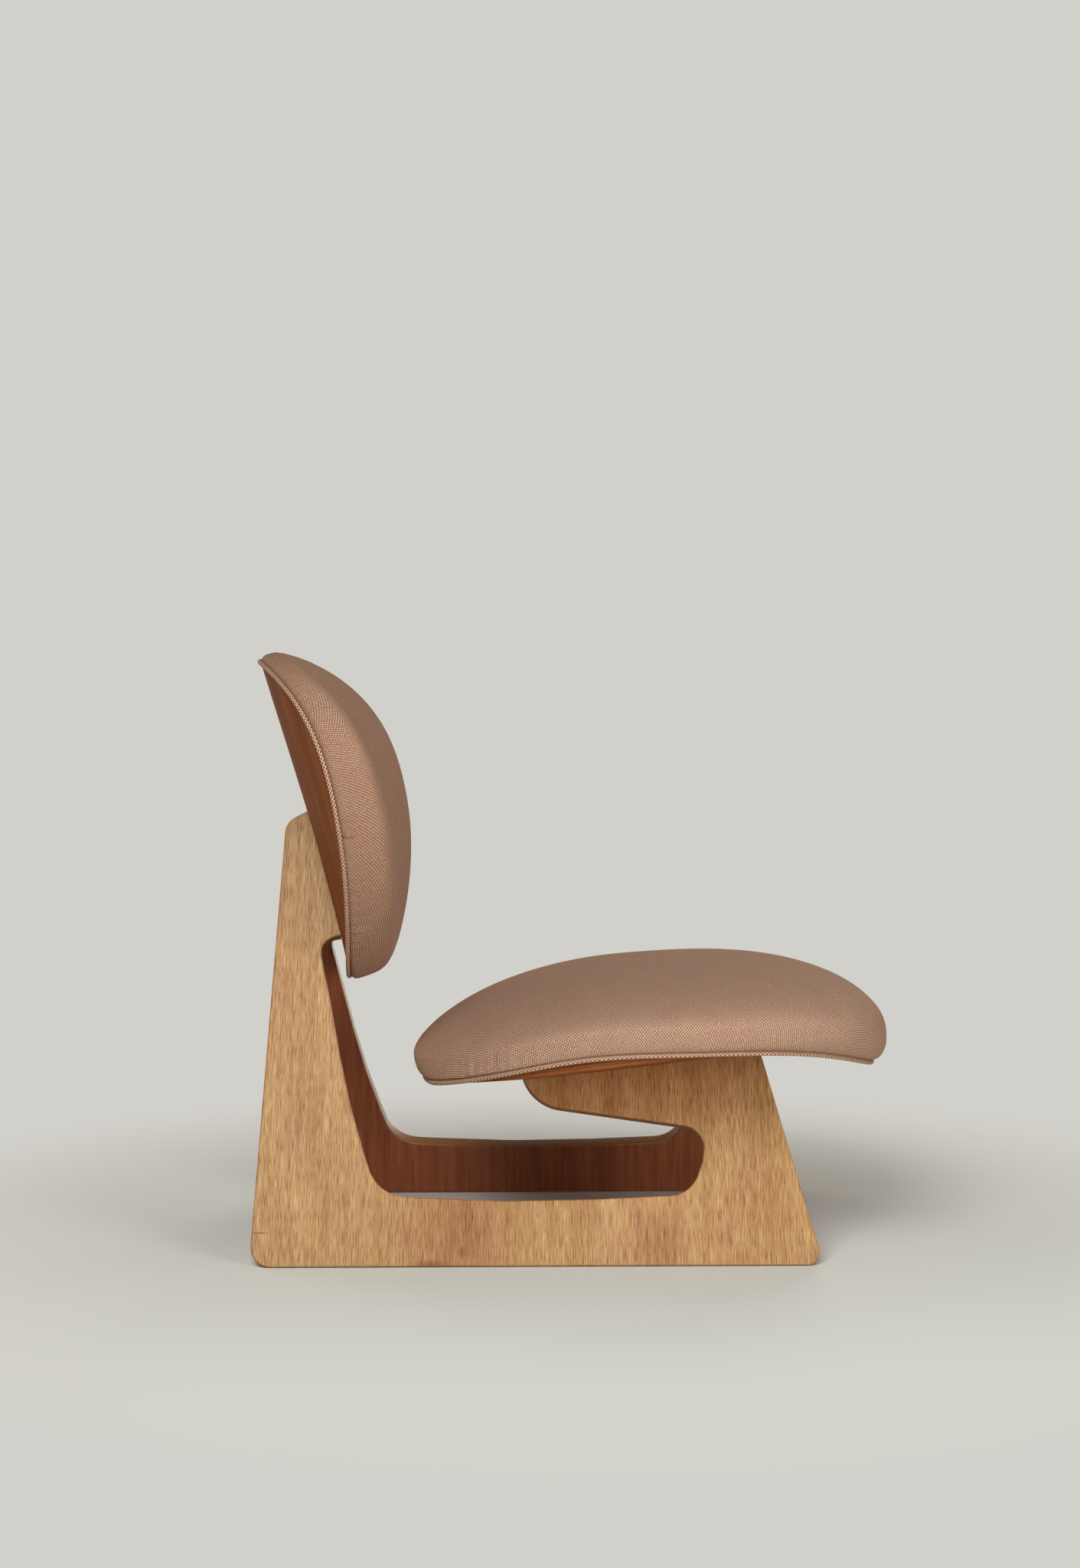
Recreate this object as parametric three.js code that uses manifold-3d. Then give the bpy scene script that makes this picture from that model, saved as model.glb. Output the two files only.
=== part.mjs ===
// Cantilever lounge chair in millimetres, facing -Y
import * as THREE from "three";
import { mergeVertices } from "three/addons/utils/BufferGeometryUtils.js";
import Module from "manifold-3d";

const wasm = await Module();
wasm.setup();

// Fits
const gap = 0.3;
const overrun = 120;
const ovalSides = 48;
const arcStepDegrees = 12;

// Side panels
const panelThickness = 18;
const panelLeanDegrees = 21;
const panelEdgeRadius = 2.2;
const panelEdgeSteps = 2;
const footSpread = 400.5;
const footLength = 609.5;
const heelRadius = 22;
const toeRadius = 14;
const legRakeDegrees = 14.5;
const postRakeDegrees = 2.7;
const postHeight = 494.5;
const postTopRadius = 21;
const postTopRiseDegrees = 27;
const postBlankDepth = 52;
const neckHeight = 358;
const neckWidth = 47;
const neckRadius = 20;
const neckRiseDegrees = 8;
const kneeHeight = 173;
const kneeWidth = 93.5;
const kneeRadius = 870;
const windowHeelForward = 134.5;
const windowHeelHeight = 76;
const windowHeelRadius = 44;
const railMiddleForward = 276;
const railMiddleHeight = 66;
const railMiddleRadius = 1680;
const windowToeSetback = 138.5;
const windowToeHeight = 75;
const windowToeRadius = 34;
const legBendSetback = 125.5;
const legBendHeight = 111.5;
const legBendRadius = 37;
const armRootSetback = 121;
const armRootHeight = 145;
const armRootRadius = 25;
const armTipForward = 288;
const armTipHeight = 174.5;
const armTipRadius = 50;

// Glides under the floor rails
const glideRadius = 7.5;
const glideThickness = 3;
const glideProud = 1.2;
const glideStemRadius = 2;
const glideStemLength = 12;
const glidePlaceShares = [0.09, 0.91];

// Both shells and what lies on them
const shellInset = 5;
const shellEdgeRadius = 2.5;
const shellRingShares = [0.2, 0.4, 0.6, 0.75];
const boardShare = 0.88;
const boardThickness = 4;
const pipingRadius = 2.4;
const pipingSides = 6;
const hemDepth = 1;

// Seat
const seatForward = 425;
const seatLevel = 205.7;
const seatLength = 516;
const seatWidth = 550;
const seatOvalPower = 2.35;
const seatShellThickness = 10;
const seatInclineRise = 31.5;
const seatNoseFall = 22.8;
const seatEndFall = 11;
const seatSideRise = 30.2;
const seatPipingLift = 1.4;
const seatPipingFall = 13.1;
const seatLiftPlaceShare = 0.27;
const seatLiftReachShare = 0.44;
const seatOverhang = 8.3;
const seatNoseOverhang = 8.1;
const seatWaistHeight = 23.2;
const seatCrownHeight = 67.8;
const seatCrownForwardRise = 19.6;
const seatCrownBow = 6.5;
const seatCrownPlanPower = 2.63;
const seatCrownRisePower = 1.98;
const seatNosePlanShare = -0.159;
const seatNoseRiseShare = 0.345;
const seatSideSteps = 3;
const seatCrownSteps = 8;

// Back
const backReclineDegrees = 16.45;
const backForward = 58.7;
const backHeight = 468.5;
const backLength = 371;
const backWidth = 450;
const backOvalPower = 2.26;
const backTaperShare = 0.23;
const backShellThickness = 9;
const backSideWrap = 48.8;
const backBow = 4.9;
const backTipCurl = 2.7;
const backFlare = 1.5;
const backPipingSink = 9.9;
const backOverhang = 5.1;
const backWaistHeight = 8;
const backCrownHeight = 49.7;
const backCrownThinning = 15;
const backCrownWrap = 54.7;
const backCrownBow = 18.5;
const backCrownPlanPower = 3.76;
const backCrownRisePower = 3.94;
const backSideSteps = 2;
const backCrownSteps = 9;

// Wedge and dowels between the post tops
const wedgeTopWidth = 8;
const wedgeFootWidth = 51;
const wedgeDepth = 20;
const wedgeSetIn = 6;
const dowelRadius = 4;
const dowelBite = 10;
const dowelPlaceShares = [0.2, 0.55];

// Screws that hold the shells to the panels' edges
const screwShankRadius = 2.2;
const screwHeadRadius = 4.5;
const screwHeadDepth = 2.6;
const screwHeadSink = 2.6;
const screwTipLength = 5;
const screwSides = 10;
const seatScrewLength = 34;
const seatScrewPlaceShares = [0.2, 0.5, 0.8];
const backScrewLength = 28;
const backScrewPlaceShares = [0.2, 0.52];

// Push-in clips that hold each pad's board to its shell
const clipStemRadius = 3;
const clipStemLength = 6;
const clipFlangeRadius = 7;
const clipFlangeThickness = 1.2;
const clipSides = 8;
const clipPlaceShares = [
  [0.5, 0.5],
  [-0.5, 0.5],
  [-0.5, -0.5],
  [0.5, -0.5],
];

const rad = THREE.MathUtils.degToRad;
const lean = rad(panelLeanDegrees);
const recline = rad(backReclineDegrees);

// Materials
const material = (color, roughness, metalness = 0) =>
  new THREE.MeshStandardMaterial({ color, roughness, metalness, flatShading: true });
const finishes = {
  panel: () => material("#b98d5c", 0.55),
  shell: () => material("#8a4f27", 0.4),
  cloth: () => material("#b5917c", 0.95),
  piping: () => material("#bb9783", 0.95),
  board: () => material("#c9a777", 0.7),
  dowel: () => material("#d2b283", 0.65),
  steel: () => material("#a9abad", 0.35, 1),
  nylon: () => material("#d8d4cb", 0.5),
};

// Solids
function solidFromFaces(positions, index) {
  const triVerts = [];
  for (let i = 0; i < index.length; i += 3) {
    const [a, b, c] = [index[i], index[i + 1], index[i + 2]];
    if (a !== b && b !== c && c !== a) triVerts.push(a, b, c);
  }
  const mesh = new wasm.Mesh({
    numProp: 3,
    vertProperties: new Float32Array(positions),
    triVerts: new Uint32Array(triVerts),
  });
  return new wasm.Manifold(mesh);
}

function solidOf(geometry) {
  const bare = geometry.clone();
  bare.deleteAttribute("normal");
  bare.deleteAttribute("uv");
  const merged = mergeVertices(bare);
  return solidFromFaces(merged.attributes.position.array, merged.index.array);
}

function geometryOf(solid) {
  const mesh = solid.getMesh();
  const geometry = new THREE.BufferGeometry();
  geometry.setAttribute("position", new THREE.BufferAttribute(mesh.vertProperties, 3));
  geometry.setIndex(new THREE.BufferAttribute(mesh.triVerts, 1));
  geometry.computeVertexNormals();
  return geometry;
}

function piece(name, solid, finish) {
  const mesh = new THREE.Mesh(geometryOf(solid), finishes[finish]());
  mesh.name = name;
  return mesh;
}

const moved = (solid, matrix) => solid.transform(Array.from(matrix.elements));
const seenFrom = (frame, other) => frame.clone().invert().multiply(other);

function groupAt(frame, ...children) {
  const group = new THREE.Group();
  frame.decompose(group.position, group.quaternion, group.scale);
  group.add(...children);
  return group;
}

const apart = (a, b) => Math.hypot(a[0] - b[0], a[1] - b[1], a[2] - b[2]);

// Skin through rings, cut along the shorter diagonals
function loft(rings) {
  const positions = [];
  const starts = [];
  for (const ring of rings) {
    starts.push(positions.length / 3);
    for (const point of ring) positions.push(...point);
  }
  const index = [];
  for (let i = 0; i + 1 < rings.length; i += 1) {
    const [low, high] = [starts[i], starts[i + 1]];
    const count = Math.max(rings[i].length, rings[i + 1].length);
    for (let j = 0; j < count; j += 1) {
      const next = (j + 1) % count;
      if (rings[i].length === 1) index.push(low, high + next, high + j);
      else if (rings[i + 1].length === 1) index.push(low + j, low + next, high);
      else if (apart(rings[i][j], rings[i + 1][next]) < apart(rings[i][next], rings[i + 1][j])) {
        index.push(low + j, low + next, high + next);
        index.push(low + j, high + next, high + j);
      } else {
        index.push(low + j, low + next, high + j);
        index.push(low + next, high + next, high + j);
      }
    }
  }
  return solidFromFaces(positions, index);
}

// Closed tube through sections
function closedTube(sections) {
  const sides = sections[0].length;
  const index = [];
  sections.forEach((section, i) => {
    const here = i * sides;
    const there = ((i + 1) % sections.length) * sides;
    for (let j = 0; j < sides; j += 1) {
      const next = (j + 1) % sides;
      index.push(here + j, there + j, there + next);
      index.push(here + j, there + next, here + next);
    }
  });
  return solidFromFaces(sections.flat(2), index);
}

function turned(profile, sides) {
  const points = profile.map(([r, y]) => new THREE.Vector2(r, y));
  return solidOf(new THREE.LatheGeometry(points, sides));
}

// Outline with rounded corners
function roundedOutline(corners) {
  const points = [];
  corners.forEach(([x, y, radius], i) => {
    const corner = new THREE.Vector2(x, y);
    const before = corners[(i + corners.length - 1) % corners.length];
    const after = corners[(i + 1) % corners.length];
    const back = new THREE.Vector2(before[0], before[1]).sub(corner).normalize();
    const on = new THREE.Vector2(after[0], after[1]).sub(corner).normalize();
    if (!radius) {
      points.push(corner);
      return;
    }
    const half = Math.acos(THREE.MathUtils.clamp(back.dot(on), -1, 1)) / 2;
    const middle = back.clone().add(on).normalize();
    const centre = corner.clone().addScaledVector(middle, radius / Math.sin(half));
    const first = corner.clone().addScaledVector(back, radius / Math.tan(half)).sub(centre);
    const turn = Math.sign(back.cross(on)) * (Math.PI - 2 * half);
    const steps = Math.max(2, Math.ceil(Math.abs(turn) / rad(arcStepDegrees)));
    for (let k = 0; k <= steps; k += 1) {
      const arm = first.clone().rotateAround(new THREE.Vector2(), (-turn * k) / steps);
      points.push(arm.add(centre));
    }
  });
  return points;
}

// Signed power for a fuller oval
const fuller = (value, power) => Math.sign(value) * Math.abs(value) ** (2 / power);

// Height of an oval form from shares across and along
const formed = ({ side = 0, slope = 0, bow = 0, curl = 0, end = 0, flare = 0 }) =>
  (x, y) => side * x ** 2 + slope * y + bow * y ** 2 + curl * y ** 3 + end * y ** 4 + flare * y * x ** 2;

const angles = (count) => Array.from({ length: count }, (_, i) => (2 * Math.PI * i) / count);

// Oval shell with its pad
class Pad {
  constructor(sizes) {
    Object.assign(this, sizes);
    this.halfLength = this.length / 2;
    this.halfWidth = this.width / 2;
    this.shellHalves = [this.halfWidth - shellInset, this.halfLength - shellInset];
  }

  at(angle, [across, along]) {
    const y = along * fuller(Math.sin(angle), this.ovalPower);
    const widening = 1 + this.taperShare * (y / this.halfLength);
    return [across * fuller(Math.cos(angle), this.ovalPower) * widening, y];
  }

  face(x, y) {
    return this.shellForm(x / this.halfWidth, y / this.halfLength);
  }

  ring(halves, level, count = ovalSides) {
    return angles(count).map((angle) => {
      const [x, y] = this.at(angle, halves);
      return [x, y, level(x, y, angle)];
    });
  }

  halves(share, growth = 0) {
    return this.shellHalves.map((half) => half * share + growth);
  }

  disc(low, high, outer) {
    const rings = (level) => shellRingShares.map((share) => this.ring(this.halves(share), level));
    return [
      [[0, 0, low(0, 0)]],
      ...rings(low),
      ...outer,
      ...rings(high).reverse(),
      [[0, 0, high(0, 0)]],
    ];
  }

  // Shell with a round rim
  shell() {
    const high = (x, y) => this.face(x, y);
    const low = (x, y) => this.face(x, y) - this.shellThickness;
    const edge = shellEdgeRadius;
    return loft(
      this.disc(low, high, [
        this.ring(this.halves(boardShare), low),
        this.ring(this.halves(1, -edge), low),
        this.ring(this.halves(1), (x, y) => low(x, y) + edge),
        this.ring(this.halves(1), (x, y) => high(x, y) - edge),
        this.ring(this.halves(1, -edge), high),
        this.ring(this.halves(boardShare), high),
      ]),
    );
  }

  // Trim for the panels under the shell
  outerTrim() {
    const low = (x, y) => this.face(x, y) - this.shellThickness - gap;
    const high = (x, y) => low(x, y) + overrun;
    const edges = [boardShare, 1];
    return loft(
      this.disc(low, high, [
        ...edges.map((share) => this.ring(this.halves(share), low)),
        ...edges.reverse().map((share) => this.ring(this.halves(share), high)),
      ]),
    );
  }

  board() {
    const low = (x, y) => this.face(x, y) + gap;
    const high = (x, y) => low(x, y) + boardThickness;
    const edge = this.halves(boardShare);
    return loft(this.disc(low, high, [this.ring(edge, low), this.ring(edge, high)]));
  }

  pipingLevel(x, y) {
    const place = (y / this.halfLength - this.liftPlaceShare) / this.liftReachShare;
    return this.face(x, y) + this.pipingLift - this.pipingFall * (1 - Math.exp(-(place ** 2)));
  }

  piping() {
    const count = 2 * ovalSides;
    const outline = angles(count).map((angle) => this.at(angle, [this.halfWidth, this.halfLength]));
    const sections = outline.map(([x, y], i) => {
      const [ax, ay] = outline[(i + count - 1) % count];
      const [bx, by] = outline[(i + 1) % count];
      const along = Math.hypot(bx - ax, by - ay);
      const [outX, outY] = [(by - ay) / along, (ax - bx) / along];
      const level = this.pipingLevel(x, y);
      return angles(pipingSides).map((angle) => {
        const out = pipingRadius * Math.cos(angle);
        return [x + out * outX, y + out * outY, level + pipingRadius * Math.sin(angle)];
      });
    });
    return closedTube(sections);
  }

  // Cushion rings from underneath round the side to the crown
  cushion() {
    const { sideSteps, crownSteps } = this;
    const seam = (x, y) => this.pipingLevel(x, y) + pipingRadius + gap;
    const seamAt = (angle) => seam(...this.at(angle, [this.halfWidth, this.halfLength]));
    const overBoard = (x, y) => this.face(x, y) + boardThickness + 2 * gap;
    const overShell = (x, y) => this.face(x, y) + gap;
    const hem = (x, y) => Math.min(this.face(x, y), seam(x, y)) - hemDepth;
    const boardEdge = this.halves(boardShare, gap);
    const rim = this.halves(1, gap);
    const hemEdge = [this.halfWidth, this.halfLength].map((half) => half - pipingRadius - gap);
    const under = [
      [[0, 0, overBoard(0, 0)]],
      ...shellRingShares.map((share) => this.ring(this.halves(share), overBoard)),
      this.ring(boardEdge, overBoard),
      this.ring(boardEdge, overShell),
      this.ring(this.halves(1, -shellEdgeRadius), overShell),
      this.ring(rim, overShell),
      this.ring(rim, hem),
      this.ring(hemEdge, hem),
      this.ring(hemEdge, seam),
    ];
    const outline = (bulge, spread, level) =>
      angles(ovalSides).map((angle) => {
        const nose = -this.noseOverhang * Math.sin(angle);
        const halves = [this.halfWidth, this.halfLength];
        const grown = halves.map((half) => (half + bulge * (this.overhang + nose)) * spread(angle));
        const [x, y] = this.at(angle, grown);
        return [x, y, level(x, y, angle)];
      });
    const side = [];
    for (let k = 0; k < sideSteps; k += 1) {
      const turn = (Math.PI / 2) * (k / sideSteps);
      const rise = this.waistHeight * (1 - Math.cos(turn));
      side.push(outline(Math.sin(turn), () => 1, (x, y, angle) => seamAt(angle) + rise));
    }
    const crown = [];
    for (let k = 0; k < crownSteps; k += 1) {
      const turn = (Math.PI / 2) * (k / crownSteps);
      const spread = (angle) =>
        Math.cos(turn) ** (2 / (this.crownPlanPower * (1 - this.nosePlanShare * Math.sin(angle))));
      crown.push(
        outline(1, spread, (x, y, angle) => {
          const power = this.crownRisePower * (1 - this.noseRiseShare * Math.sin(angle));
          const share = Math.sin(turn) ** (2 / power);
          const top = this.crownForm(x / this.halfWidth, y / this.halfLength) + this.crownHeight;
          return this.waistHeight + seamAt(angle) * (1 - share) + top * share;
        }),
      );
    }
    return loft([...under, ...side, ...crown, [[0, 0, this.waistHeight + this.crownHeight]]]);
  }
}

const seat = new Pad({
  length: seatLength,
  width: seatWidth,
  ovalPower: seatOvalPower,
  taperShare: 0,
  shellThickness: seatShellThickness,
  shellForm: formed({ side: seatSideRise, slope: -seatInclineRise, curl: seatNoseFall, end: -seatEndFall }),
  pipingLift: seatPipingLift,
  pipingFall: seatPipingFall,
  liftPlaceShare: seatLiftPlaceShare,
  liftReachShare: seatLiftReachShare,
  overhang: seatOverhang,
  noseOverhang: seatNoseOverhang,
  waistHeight: seatWaistHeight,
  crownHeight: seatCrownHeight,
  crownForm: formed({ slope: -seatCrownForwardRise, bow: -seatCrownBow }),
  crownPlanPower: seatCrownPlanPower,
  crownRisePower: seatCrownRisePower,
  nosePlanShare: seatNosePlanShare,
  noseRiseShare: seatNoseRiseShare,
  sideSteps: seatSideSteps,
  crownSteps: seatCrownSteps,
});

const back = new Pad({
  length: backLength,
  width: backWidth,
  ovalPower: backOvalPower,
  taperShare: backTaperShare,
  shellThickness: backShellThickness,
  shellForm: formed({ side: backSideWrap, bow: -backBow, curl: backTipCurl, flare: backFlare }),
  pipingLift: -backPipingSink,
  pipingFall: 0,
  liftPlaceShare: 0,
  liftReachShare: 1,
  overhang: backOverhang,
  noseOverhang: 0,
  waistHeight: backWaistHeight,
  crownHeight: backCrownHeight,
  crownForm: formed({
    side: backCrownWrap,
    slope: -backCrownThinning,
    bow: -backCrownBow,
    curl: backTipCurl,
  }),
  crownPlanPower: backCrownPlanPower,
  crownRisePower: backCrownRisePower,
  nosePlanShare: 0,
  noseRiseShare: 0,
  sideSteps: backSideSteps,
  crownSteps: backCrownSteps,
});

// Frames
const seatFrame = new THREE.Matrix4().makeTranslation(0, -seatForward, seatLevel);
const backFrame = new THREE.Matrix4()
  .makeRotationX(Math.PI / 2 - recline)
  .setPosition(0, -backForward, backHeight);

function panelFrame(side) {
  const forward = new THREE.Vector3(0, -1, 0);
  const up = new THREE.Vector3(-side * Math.sin(lean), 0, Math.cos(lean));
  const across = forward.clone().cross(up);
  return new THREE.Matrix4()
    .makeBasis(forward, up, across)
    .setPosition((side * footSpread) / 2, 0, 0);
}

// Panel outline
const rearEdge = (height) => height * Math.tan(rad(postRakeDegrees));
const armBlankHeight = (seatLevel + seatInclineRise) / Math.cos(lean);
const legBlankForward = footLength - armBlankHeight * Math.tan(rad(legRakeDegrees));
const neckForward = rearEdge(neckHeight) + neckWidth;
const postTopForward = rearEdge(postHeight);
const postTopRise = postBlankDepth * Math.tan(rad(postTopRiseDegrees));
const neckRise = postBlankDepth * Math.tan(rad(neckRiseDegrees));
const panelCorners = [
  [0, 0, heelRadius],
  [footLength, 0, toeRadius],
  [legBlankForward, armBlankHeight, 0],
  [armTipForward, armBlankHeight, 0],
  [armTipForward, armTipHeight, armTipRadius],
  [footLength - armRootSetback, armRootHeight, armRootRadius],
  [footLength - legBendSetback, legBendHeight, legBendRadius],
  [footLength - windowToeSetback, windowToeHeight, windowToeRadius],
  [railMiddleForward, railMiddleHeight, railMiddleRadius],
  [windowHeelForward, windowHeelHeight, windowHeelRadius],
  [rearEdge(kneeHeight) + kneeWidth, kneeHeight, kneeRadius],
  [neckForward, neckHeight, neckRadius],
  [neckForward + postBlankDepth, neckHeight + neckRise, 0],
  [postTopForward + postBlankDepth, postHeight + postTopRise, 0],
  [postTopForward, postHeight, postTopRadius],
];

// Plate behind its outer face
const plateMiddle = (side) => (side * panelThickness) / 2;

function plate(side) {
  const geometry = new THREE.ExtrudeGeometry(new THREE.Shape(roundedOutline(panelCorners)), {
    depth: panelThickness - 2 * panelEdgeRadius,
    bevelThickness: panelEdgeRadius,
    bevelSize: panelEdgeRadius,
    bevelOffset: -panelEdgeRadius,
    bevelSegments: panelEdgeSteps,
  });
  const start = plateMiddle(side) - panelThickness / 2 + panelEdgeRadius;
  return solidOf(geometry.translate(0, 0, start));
}

// Point inside the plate
function inPlate(side, forward, up) {
  return new THREE.Vector3(forward, up, plateMiddle(side)).applyMatrix4(panelFrame(side));
}

const underFloor = solidOf(
  new THREE.BoxGeometry(footSpread + overrun, footLength + 2 * overrun, overrun).translate(
    0,
    -footLength / 2,
    -overrun / 2,
  ),
);

// Screws
function screwProfile(length, growth) {
  const shank = screwShankRadius + growth;
  const head = screwHeadRadius + growth;
  const top = growth ? overrun : 0;
  const profile = [
    [0, -length - growth],
    [shank, screwTipLength - length - growth],
    [shank, -screwHeadDepth - growth],
    [head, 0],
  ];
  if (growth) profile.push([head, top]);
  profile.push([0, top]);
  return profile;
}

const screwSolid = (length) => turned(screwProfile(length, 0), screwSides);
const screwHole = (length) => turned(screwProfile(length, gap), screwSides);

// Meeting point of a line and a pad face
function faceCrossing(pad, frame, start, direction) {
  const inverse = frame.clone().invert();
  const origin = start.clone().applyMatrix4(inverse);
  const way = direction.clone().transformDirection(inverse);
  const height = (distance) => {
    const point = origin.clone().addScaledVector(way, distance);
    return point.z - pad.face(point.x, point.y);
  };
  let [low, high] = [-overrun, overrun];
  while (high - low > gap / overrun) {
    const middle = (low + high) / 2;
    if (height(middle) < 0) low = middle;
    else high = middle;
  }
  return start.clone().addScaledVector(direction, low);
}

function screwFrame(pad, frame, start, direction) {
  const head = faceCrossing(pad, frame, start, direction).addScaledVector(direction, -screwHeadSink);
  const turn = new THREE.Quaternion().setFromUnitVectors(new THREE.Vector3(0, 1, 0), direction);
  return new THREE.Matrix4().compose(head, turn, new THREE.Vector3(1, 1, 1));
}

const sides = { left: 1, right: -1 };
const screws = [];
for (const [sideName, side] of Object.entries(sides)) {
  const panelUp = new THREE.Vector3(0, 1, 0).transformDirection(panelFrame(side));
  seatScrewPlaceShares.forEach((share, i) => {
    const forward = armTipForward + (legBlankForward - armTipForward) * share;
    const start = inPlate(side, forward, armBlankHeight);
    const frame = screwFrame(seat, seatFrame, start, panelUp);
    const name = `seat_screw_${sideName}_${i + 1}`;
    screws.push({ name, side, shell: seat, frame, length: seatScrewLength });
  });
  const backUp = new THREE.Vector3(0, 1, 0).transformDirection(backFrame);
  const across = new THREE.Vector3(0, 0, 1).transformDirection(panelFrame(side));
  const outOfPost = across.clone().cross(backUp).normalize();
  if (outOfPost.y > 0) outOfPost.negate();
  backScrewPlaceShares.forEach((share, i) => {
    const height = neckHeight + (postHeight - neckHeight) * share;
    const start = inPlate(side, neckForward, height);
    const frame = screwFrame(back, backFrame, start, outOfPost);
    const name = `back_screw_${sideName}_${i + 1}`;
    screws.push({ name, side, shell: back, frame, length: backScrewLength });
  });
}

// Wedge and dowels
const innerFootHalf = footSpread / 2 - panelThickness / Math.cos(lean);
const innerHalf = (height) => innerFootHalf - height * Math.tan(lean);
const heightWhereInner = (width) => (innerFootHalf - width / 2) / Math.tan(lean);
const wedgeTopHeight = heightWhereInner(wedgeTopWidth);
const wedgeFootHeight = heightWhereInner(wedgeFootWidth);
const wedgeMiddleForward = postTopForward + wedgeSetIn + wedgeDepth / 2;
const dowels = dowelPlaceShares.map((share, i) => {
  const height = wedgeTopHeight + (wedgeFootHeight - wedgeTopHeight) * share;
  const half = innerHalf(height) + dowelBite;
  return { name: `post_dowel_${i + 1}`, height, half };
});

function dowelSolid({ height, half }, growth = 0) {
  const radius = dowelRadius + growth;
  const length = 2 * (half + growth);
  const geometry = new THREE.CylinderGeometry(radius, radius, length, screwSides);
  geometry.rotateZ(Math.PI / 2).translate(0, -wedgeMiddleForward, height);
  return solidOf(geometry);
}

function wedge() {
  const slack = gap / Math.cos(lean);
  const [top, foot] = [wedgeTopWidth / 2 - slack, wedgeFootWidth / 2 - slack];
  const shape = new THREE.Shape([
    new THREE.Vector2(-foot, wedgeFootHeight),
    new THREE.Vector2(foot, wedgeFootHeight),
    new THREE.Vector2(top, wedgeTopHeight),
    new THREE.Vector2(-top, wedgeTopHeight),
  ]);
  const geometry = new THREE.ExtrudeGeometry(shape, { depth: wedgeDepth, bevelEnabled: false });
  geometry.rotateX(Math.PI / 2).translate(0, wedgeDepth / 2 - wedgeMiddleForward, 0);
  return dowels.reduce((solid, dowel) => solid.subtract(dowelSolid(dowel, gap)), solidOf(geometry));
}

// Glides
const glidePlaces = glidePlaceShares.map((share) => footLength * share);
const glideAcross = footSpread / 2 - panelThickness / Math.cos(lean) / 2;

function glideSolid(side, forward, growth = 0) {
  const bottom = growth ? -overrun : -glideProud;
  const top = bottom + glideThickness;
  const plateTop = growth ? glideThickness - glideProud + growth : top;
  const profile = [
    [0, bottom],
    [glideRadius + growth, bottom],
    [glideRadius + growth, plateTop],
    [glideStemRadius + growth, plateTop],
    [glideStemRadius + growth, glideStemLength + growth],
    [0, glideStemLength + growth],
  ];
  const turn = new THREE.Matrix4().makeRotationX(Math.PI / 2);
  const place = new THREE.Matrix4().makeTranslation(side * glideAcross, -forward, 0);
  return moved(turned(profile, 2 * clipSides), place.multiply(turn));
}

function sidePanel(side) {
  const frame = panelFrame(side);
  const local = (solid, from) => moved(solid, seenFrom(frame, from));
  const world = new THREE.Matrix4();
  let solid = plate(side)
    .subtract(local(seat.outerTrim(), seatFrame))
    .subtract(local(back.outerTrim(), backFrame))
    .subtract(local(underFloor, world));
  for (const screw of screws.filter((s) => s.side === side)) {
    solid = solid.subtract(local(screwHole(screw.length), screw.frame));
  }
  for (const dowel of dowels) solid = solid.subtract(local(dowelSolid(dowel, gap), world));
  for (const forward of glidePlaces) {
    solid = solid.subtract(local(glideSolid(side, forward, gap), world));
  }
  return solid;
}

// Clips
function clipProfile(growth) {
  const flangeTop = gap + clipFlangeThickness + growth;
  return [
    [0, -clipStemLength - growth],
    [clipStemRadius + growth, -clipStemLength - growth],
    [clipStemRadius + growth, gap - growth],
    [clipFlangeRadius + growth, gap - growth],
    [clipFlangeRadius + growth, flangeTop],
    [0, flangeTop],
  ];
}

function clipFrames(pad) {
  const turn = new THREE.Matrix4().makeRotationX(Math.PI / 2);
  const [across, along] = pad.shellHalves;
  return clipPlaceShares.map(([shareX, shareY]) => {
    const [x, y] = [across * shareX, along * shareY];
    return new THREE.Matrix4().makeTranslation(x, y, pad.face(x, y)).multiply(turn);
  });
}

function padPieces(prefix, pad, frame) {
  const clips = clipFrames(pad);
  const clipHoles = clips.map((place) => moved(turned(clipProfile(gap), clipSides), place));
  let shell = pad.shell();
  let board = pad.board();
  for (const hole of clipHoles) {
    shell = shell.subtract(hole);
    board = board.subtract(hole);
  }
  for (const screw of screws.filter((s) => s.shell === pad)) {
    shell = shell.subtract(moved(screwHole(screw.length), seenFrom(frame, screw.frame)));
  }
  const clipMeshes = clips.map((place, i) => {
    const mesh = piece(`${prefix}_clip_${i + 1}`, turned(clipProfile(0), clipSides), "nylon");
    place.decompose(mesh.position, mesh.quaternion, mesh.scale);
    return mesh;
  });
  return groupAt(
    frame,
    piece(`${prefix}_shell`, shell, "shell"),
    piece(`${prefix}_board`, board, "board"),
    piece(`${prefix}_cushion`, pad.cushion(), "cloth"),
    piece(`${prefix}_piping`, pad.piping(), "piping"),
    ...clipMeshes,
  );
}

const chair = new THREE.Group();
for (const [sideName, side] of Object.entries(sides)) {
  const panel = piece(`side_panel_${sideName}`, sidePanel(side), "panel");
  chair.add(groupAt(panelFrame(side), panel));
  glidePlaces.forEach((forward, i) => {
    const end = ["rear", "front"][i];
    chair.add(piece(`glide_${sideName}_${end}`, glideSolid(side, forward), "nylon"));
  });
}
chair.add(padPieces("seat", seat, seatFrame), padPieces("back", back, backFrame));
for (const screw of screws) {
  const mesh = piece(screw.name, screwSolid(screw.length), "steel");
  screw.frame.decompose(mesh.position, mesh.quaternion, mesh.scale);
  chair.add(mesh);
}
chair.add(piece("post_wedge", wedge(), "dowel"));
for (const dowel of dowels) chair.add(piece(dowel.name, dowelSolid(dowel), "dowel"));

// Origin on the floor under the middle
const box = new THREE.Box3().setFromObject(chair, true);
const middle = box.getCenter(new THREE.Vector3());
chair.position.set(-middle.x, -middle.y, -box.min.z);

export default chair;
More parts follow.
